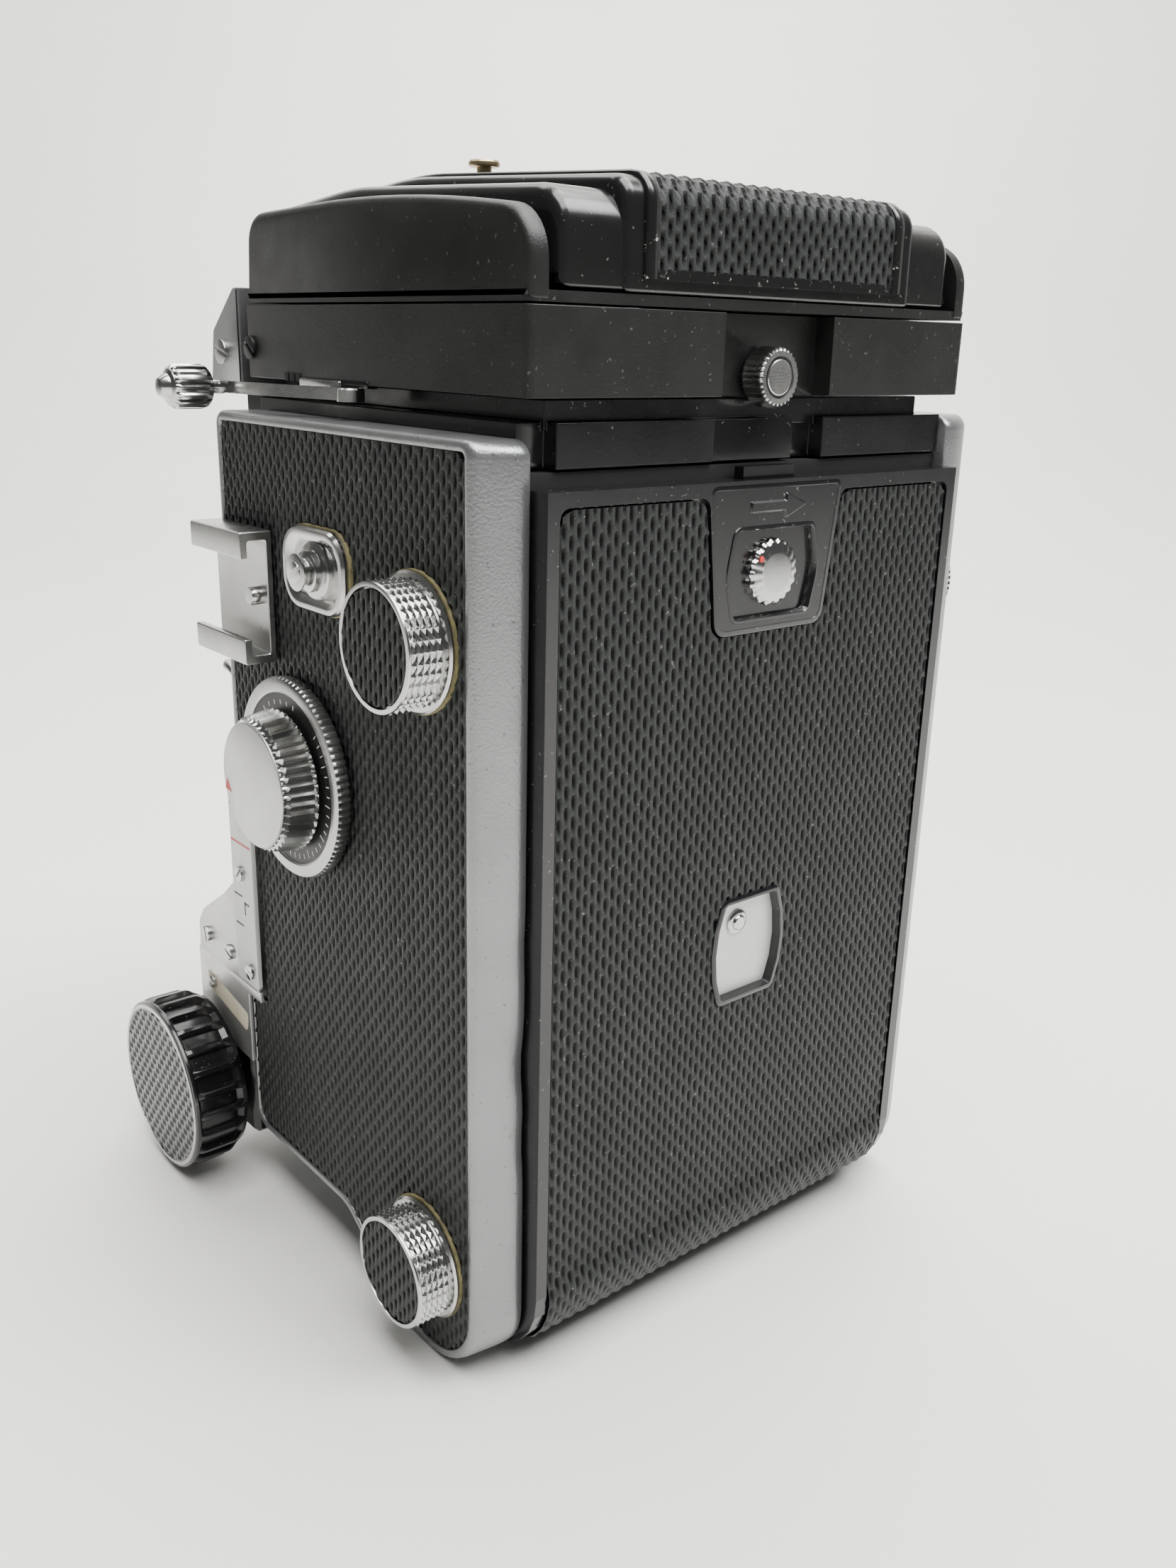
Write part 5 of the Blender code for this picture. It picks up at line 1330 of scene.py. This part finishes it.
def taking_lens():
    centre = (0, 0, TAKING_Z)
    taking = Shape()
    taking.ring([(14.0, 97.3), (18.6, 97.3), (20.0, 98.4), (20.0, 101.2), (19.7, 101.4), (19.7, 102.0),
                 (20.0, 102.2), (20.0, 108.2), (19.8, 108.5), (19.4, 108.6), (17.0, 108.6), (16.6, 108.4),
                 (15.6, 106.6), (14.6, 106.4), (14.4, 105.6), (12.4, 105.0), (12.1, 104.4), (13.0, 98.0),
                 (14.0, 97.3)], "-Y", centre, GLOSS, 320, toothed(80, 0.3, 7, 7))
    numerals(taking, centre, 16.0, math.radians(62), ["2", "8", "80"], 106.6, WHITE)
    taking.place("taking_barrel_turned", "front_standard", ["taking_lens_barrel"], 30)

    glass_front = Shape()
    glass_front.turned([(11.4, 100.4), (6.0, 99.8), (0, 99.6), (0, 104.2), (3.0, 104.1), (6.0, 103.7),
                        (9.0, 102.9), (11.4, 102.0)], "-Y", centre, LENS_GLASS, 96)
    glass_front.place("taking_glass_ground", "front_standard", ["taking_lens_glass"], 30)
    iris = Shape()
    iris.ring([(6.0, 97.9), (12.8, 97.8), (12.8, 98.1), (6.0, 98.2), (6.0, 97.9)], "-Y", centre, INNER, 64)
    iris.place("taking_iris", "front_standard", (), 30)


def viewing_lens():
    centre = (0, 0, VIEWING_Z)
    viewing = Shape()
    viewing.ring([(13.2, LENS_SEAT), (17.2, LENS_SEAT), (17.2, 93.6), (18.0, 94.2), (18.4, 95.0),
                  (18.4, 97.0), (18.2, 97.2), (18.2, 102.8), (18.0, 103.2), (17.6, 103.4), (15.9, 103.4),
                  (15.5, 103.2), (14.6, 101.6), (13.9, 101.4), (13.4, 98.4), (13.2, 98.0), (13.2, LENS_SEAT)],
                 "-Y", centre, GLOSS, 128)
    numerals(viewing, centre, 14.3, math.radians(62), ["2", "8", "80"], 101.5, WHITE)
    viewing.place("viewing_barrel_turned", "front_standard", ["viewing_lens_barrel"], 30)
    glass_up = Shape()
    glass_up.turned([(12.6, 92.6), (6.0, 92.2), (0, 92.0), (0, 97.0), (3.5, 96.85), (7.0, 96.2), (10.0, 95.2),
                     (12.6, 94.2)], "-Y", centre, LENS_GLASS, 96)
    glass_up.place("viewing_glass_ground", "front_standard", ["viewing_lens_glass"], 30)


def bail():
    shape = Shape()
    leg_x, bar_y, bar_z = 39.3, -88.0, 91.0
    side = [(leg_x, -81.0, 52.5), (leg_x, -81.2, 86.5), (leg_x, -82.0, 88.6), (leg_x, -83.5, 90.2),
            (leg_x, -85.2, 90.8), (leg_x, -86.6, bar_z), (leg_x - 0.4, -87.5, bar_z),
            (leg_x - 1.4, bar_y, bar_z)]
    path = side + [(-x, y, z) for x, y, z in reversed(side)]
    shape.tube(path, 0.85, STEEL, 12)
    for s in (-1, 1):
        shape.ring([(1.4, 38.6), (2.5, 38.6), (2.8, 38.9), (2.8, 39.8), (2.5, 40.1), (1.4, 40.1),
                    (1.4, 38.6)], side_axis(s), (0, -81.0, 50.0), STEEL, 32)
    shape.place("bail_wire", "lens_board_bail", ["lens_board_bail"], 40)


def release():
    centre = (-44.6, 0, 32.0)
    shape = Shape()
    shape.turned([(2.0, 86.4), (2.5, 87.0), (2.5, 94.4), (1.5, 94.7), (1.5, 100.9), (3.0, 101.0),
                  (3.1, 101.3), (3.0, 102.2), (2.5, 102.55), (1.6, 102.6), (1.2, 102.3), (0, 102.2)], "-Y",
                 centre, CHROME, 48)
    shape.place("release_turned", "shutter_release_button", ["shutter_release_button"], 30)


def focus_bed():
    refined("focus_bed", GLOSS, 0.35, 3)
    refined("tripod_base", GLOSS, 0.3, 3)
    shape = Shape()
    y, z0, z1 = middle("tripod_bush").y, low("tripod_bush").z, high("tripod_bush").z
    shape.ring([(3.1, z0 + 0.4), (3.5, z0), (5.7, z0), (6.0, z0 + 0.3), (6.0, z1), (3.1, z1),
                (3.1, z1 - 0.4)] + [(2.85 if k % 2 else 3.1, z1 - 0.6 - k * 0.35)
                                    for k in range(20)] + [(3.1, z0 + 0.4)], "Z", (0, y, 0), STEEL, 48)
    shape.place("tripod_bush_threaded", "camera_body", ["tripod_bush"], 30)


# ---------------------------------------------------------------- right side
def crank():
    centre = (0, KNOB_Y, UPPER_Z)
    shape = Shape()
    shape.turned([(2.3, 30.0), (2.3, 48.0), (10.4, 48.0), (10.5, 48.4), (10.3, 48.8), (8.9, 49.1),
                  (8.9, 52.8), (8.7, 53.2), (8.3, 53.55), (3.2, 53.6), (3.0, 53.75), (0, 53.8)], "-X", centre,
                 CHROME, 240, toothed(60, 0.25, 5, 6))
    arm = rounded([(KNOB_Y - 4.2, UPPER_Z + 4.2, 3.9), (KNOB_Y + 4.2, UPPER_Z + 4.2, 3.9),
                   (KNOB_Y + 3.4, 83.0, 3.3), (KNOB_Y - 3.4, 83.0, 3.3)], 6)
    shape.slab(arm, "-X", 52.0, 53.6, CHROME, 0.35)
    shape.screw((-53.6, KNOB_Y, UPPER_Z), "-X", 1.7, 0.7, STEEL, 0.3)
    shape.place("wind_crank_arm", "wind_crank", ["wind_crank"], 28)
    grip = Shape()
    x = middle("crank_grip").x
    grip.turned([(1.4, 87.0), (1.9, 88.0), (2.0, 89.0), (2.3, 92.0), (2.4, 96.0), (2.3, 100.0), (2.1, 103.2),
                 (1.7, 104.2), (0, 104.5)], "Z", (x, KNOB_Y, 0), GLOSS, 40)
    grip.place("crank_grip_turned", "crank_grip", ["crank_grip"], 30)


def counter():
    y, z = COUNTER
    shape = Shape()
    shape.ring([(6.2, 46.6), (8.0, 46.9), (8.0, 47.9), (7.7, 48.3), (6.5, 48.3), (6.2, 48.0), (6.2, 46.6)],
               "-X", (0, y, z), CHROME, 64)
    shape.place("counter_bezel", "camera_body", (), 30)
    disc = Shape()
    disc.turned([(6.1, 46.4), (6.1, 47.2), (5.9, 47.35), (0, 47.35)], "-X", (0, y, z), MATT, 48)
    for index in range(12):
        mark(disc, (0, y, z), math.radians(index * 30), 5.1, 5.7, 0.2, 47.35, WHITE, "-X")
    disc.place("counter_disc_marked", "counter_disc", ["counter_disc"], 30)


# ---------------------------------------------------------------- inside
def inside_pieces():
    for node in ("main_casting", "light_baffle", "pressure_plate", "supply_spool", "take_up_spool"):
        repaint(node, INNER)
    repaint("mirror", SILVERED)
    repaint("door_latch", GLOSS)
    repaint("door_hinge_pin", STEEL)


# ---------------------------------------------------------------- surroundings
PALE = surface("pale_table", (0.86, 0.855, 0.83), 0.42, 0.0, 0.04, 3.0, 400.0, 0.00001, 0.05)


VIEW_AZIMUTH, VIEW_ELEVATION, VIEW_ROLL = (math.radians(a) for a in (139.846, 18.283, 1.469))
VIEW_PLACE = (0.13921, 0.18254, 0.14695)
VIEW_LENS = 30.86


def aim(obj, target):
    obj.rotation_euler = (Vector(target) - obj.location).to_track_quat("-Z", "Y").to_euler()


def backdrop():
    """Table top that curves up into a pale wall behind the camera."""
    back, bend, tall, half = -0.55, 0.45, 2.6, 2.6
    profile = [(1.4, 0.0), (0.0, 0.0), (back, 0.0)]
    for angle in (math.radians(a) for a in range(6, 91, 6)):
        profile.append((back - bend * math.sin(angle), bend * (1 - math.cos(angle))))
    profile.append((back - bend, tall))
    turn = Matrix.Rotation(VIEW_AZIMUTH, 3, "Z")
    points = [turn @ Vector((x, -y, z)) for y, z in profile for x in (-half, half)]
    faces = [(2 * i, 2 * i + 1, 2 * i + 3, 2 * i + 2) for i in range(len(profile) - 1)]
    mesh = bpy.data.meshes.new("table")
    mesh.from_pydata(points, [], faces)
    mesh.materials.append(PALE)
    mesh.update()
    obj = bpy.data.objects.new("table", mesh)
    SCENE.collection.objects.link(obj)
    obj.data.shade_smooth()


def area_light(name, location, target, size, power, colour=(1, 1, 1)):
    data = bpy.data.lights.new(name, "AREA")
    data.shape = "RECTANGLE"
    data.size, data.size_y = size
    data.energy = power
    data.color = colour
    obj = bpy.data.objects.new(name, data)
    obj.location = location
    SCENE.collection.objects.link(obj)
    aim(obj, target)


def lights():
    area_light("overhead", (-0.02, 0.30, 1.05), (0, 0, 0.0), (1.0, 0.9), 31.0, (1.0, 0.99, 0.97))
    area_light("wall_wash", (-0.25, -0.45, 0.95), (-0.5, -0.75, 0.1), (1.0, 0.8), 14.0, (1.0, 0.99, 0.97))
    area_light("high_right", (-0.45, 0.55, 1.0), (0, 0, 0.05), (0.5, 0.5), 7.0, (0.98, 0.99, 1.0))
    world_data = bpy.data.worlds.new("room")
    world_data.use_nodes = True
    world_data.node_tree.nodes["Background"].inputs["Color"].default_value = (0.88, 0.89, 0.89, 1)
    world_data.node_tree.nodes["Background"].inputs["Strength"].default_value = 0.13
    SCENE.world = world_data


def camera():
    azimuth, elevation, roll = VIEW_AZIMUTH, VIEW_ELEVATION, VIEW_ROLL
    back = Vector((math.sin(azimuth) * math.cos(elevation), -math.cos(azimuth) * math.cos(elevation),
                   math.sin(elevation)))
    right = Vector((math.cos(azimuth), math.sin(azimuth), 0.0))
    up = back.cross(right)
    turned_right = right * math.cos(roll) + up * math.sin(roll)
    turned_up = up * math.cos(roll) - right * math.sin(roll)
    data = bpy.data.cameras.new("photo_view")
    data.lens = VIEW_LENS
    data.sensor_width = 36.0
    data.clip_start = 0.01
    obj = bpy.data.objects.new("photo_view", data)
    place = Matrix((turned_right, turned_up, back)).transposed().to_4x4()
    place.translation = VIEW_PLACE
    obj.matrix_world = place
    SCENE.collection.objects.link(obj)
    SCENE.camera = obj


# ---------------------------------------------------------------- build
sides()
back_door()
spool_knobs()
focus_knobs()
dial()
lens_lock()
shoe()
strap_lug(1, "left_strap_lug")
strap_lug(-1, "right_strap_lug")
distance_scale()
distance_marks()
deck()
finder_base()
finder_screw()
hood()
hood_lid()
hood_button()
brow()
side_lever()
hood_inside()
focusing_screen()
bellows()
standard()
focus_rails()
lens_board()
shutter()
taking_lens()
viewing_lens()
bail()
release()
focus_bed()
crank()
counter()
inside_pieces()
backdrop()
lights()
camera()
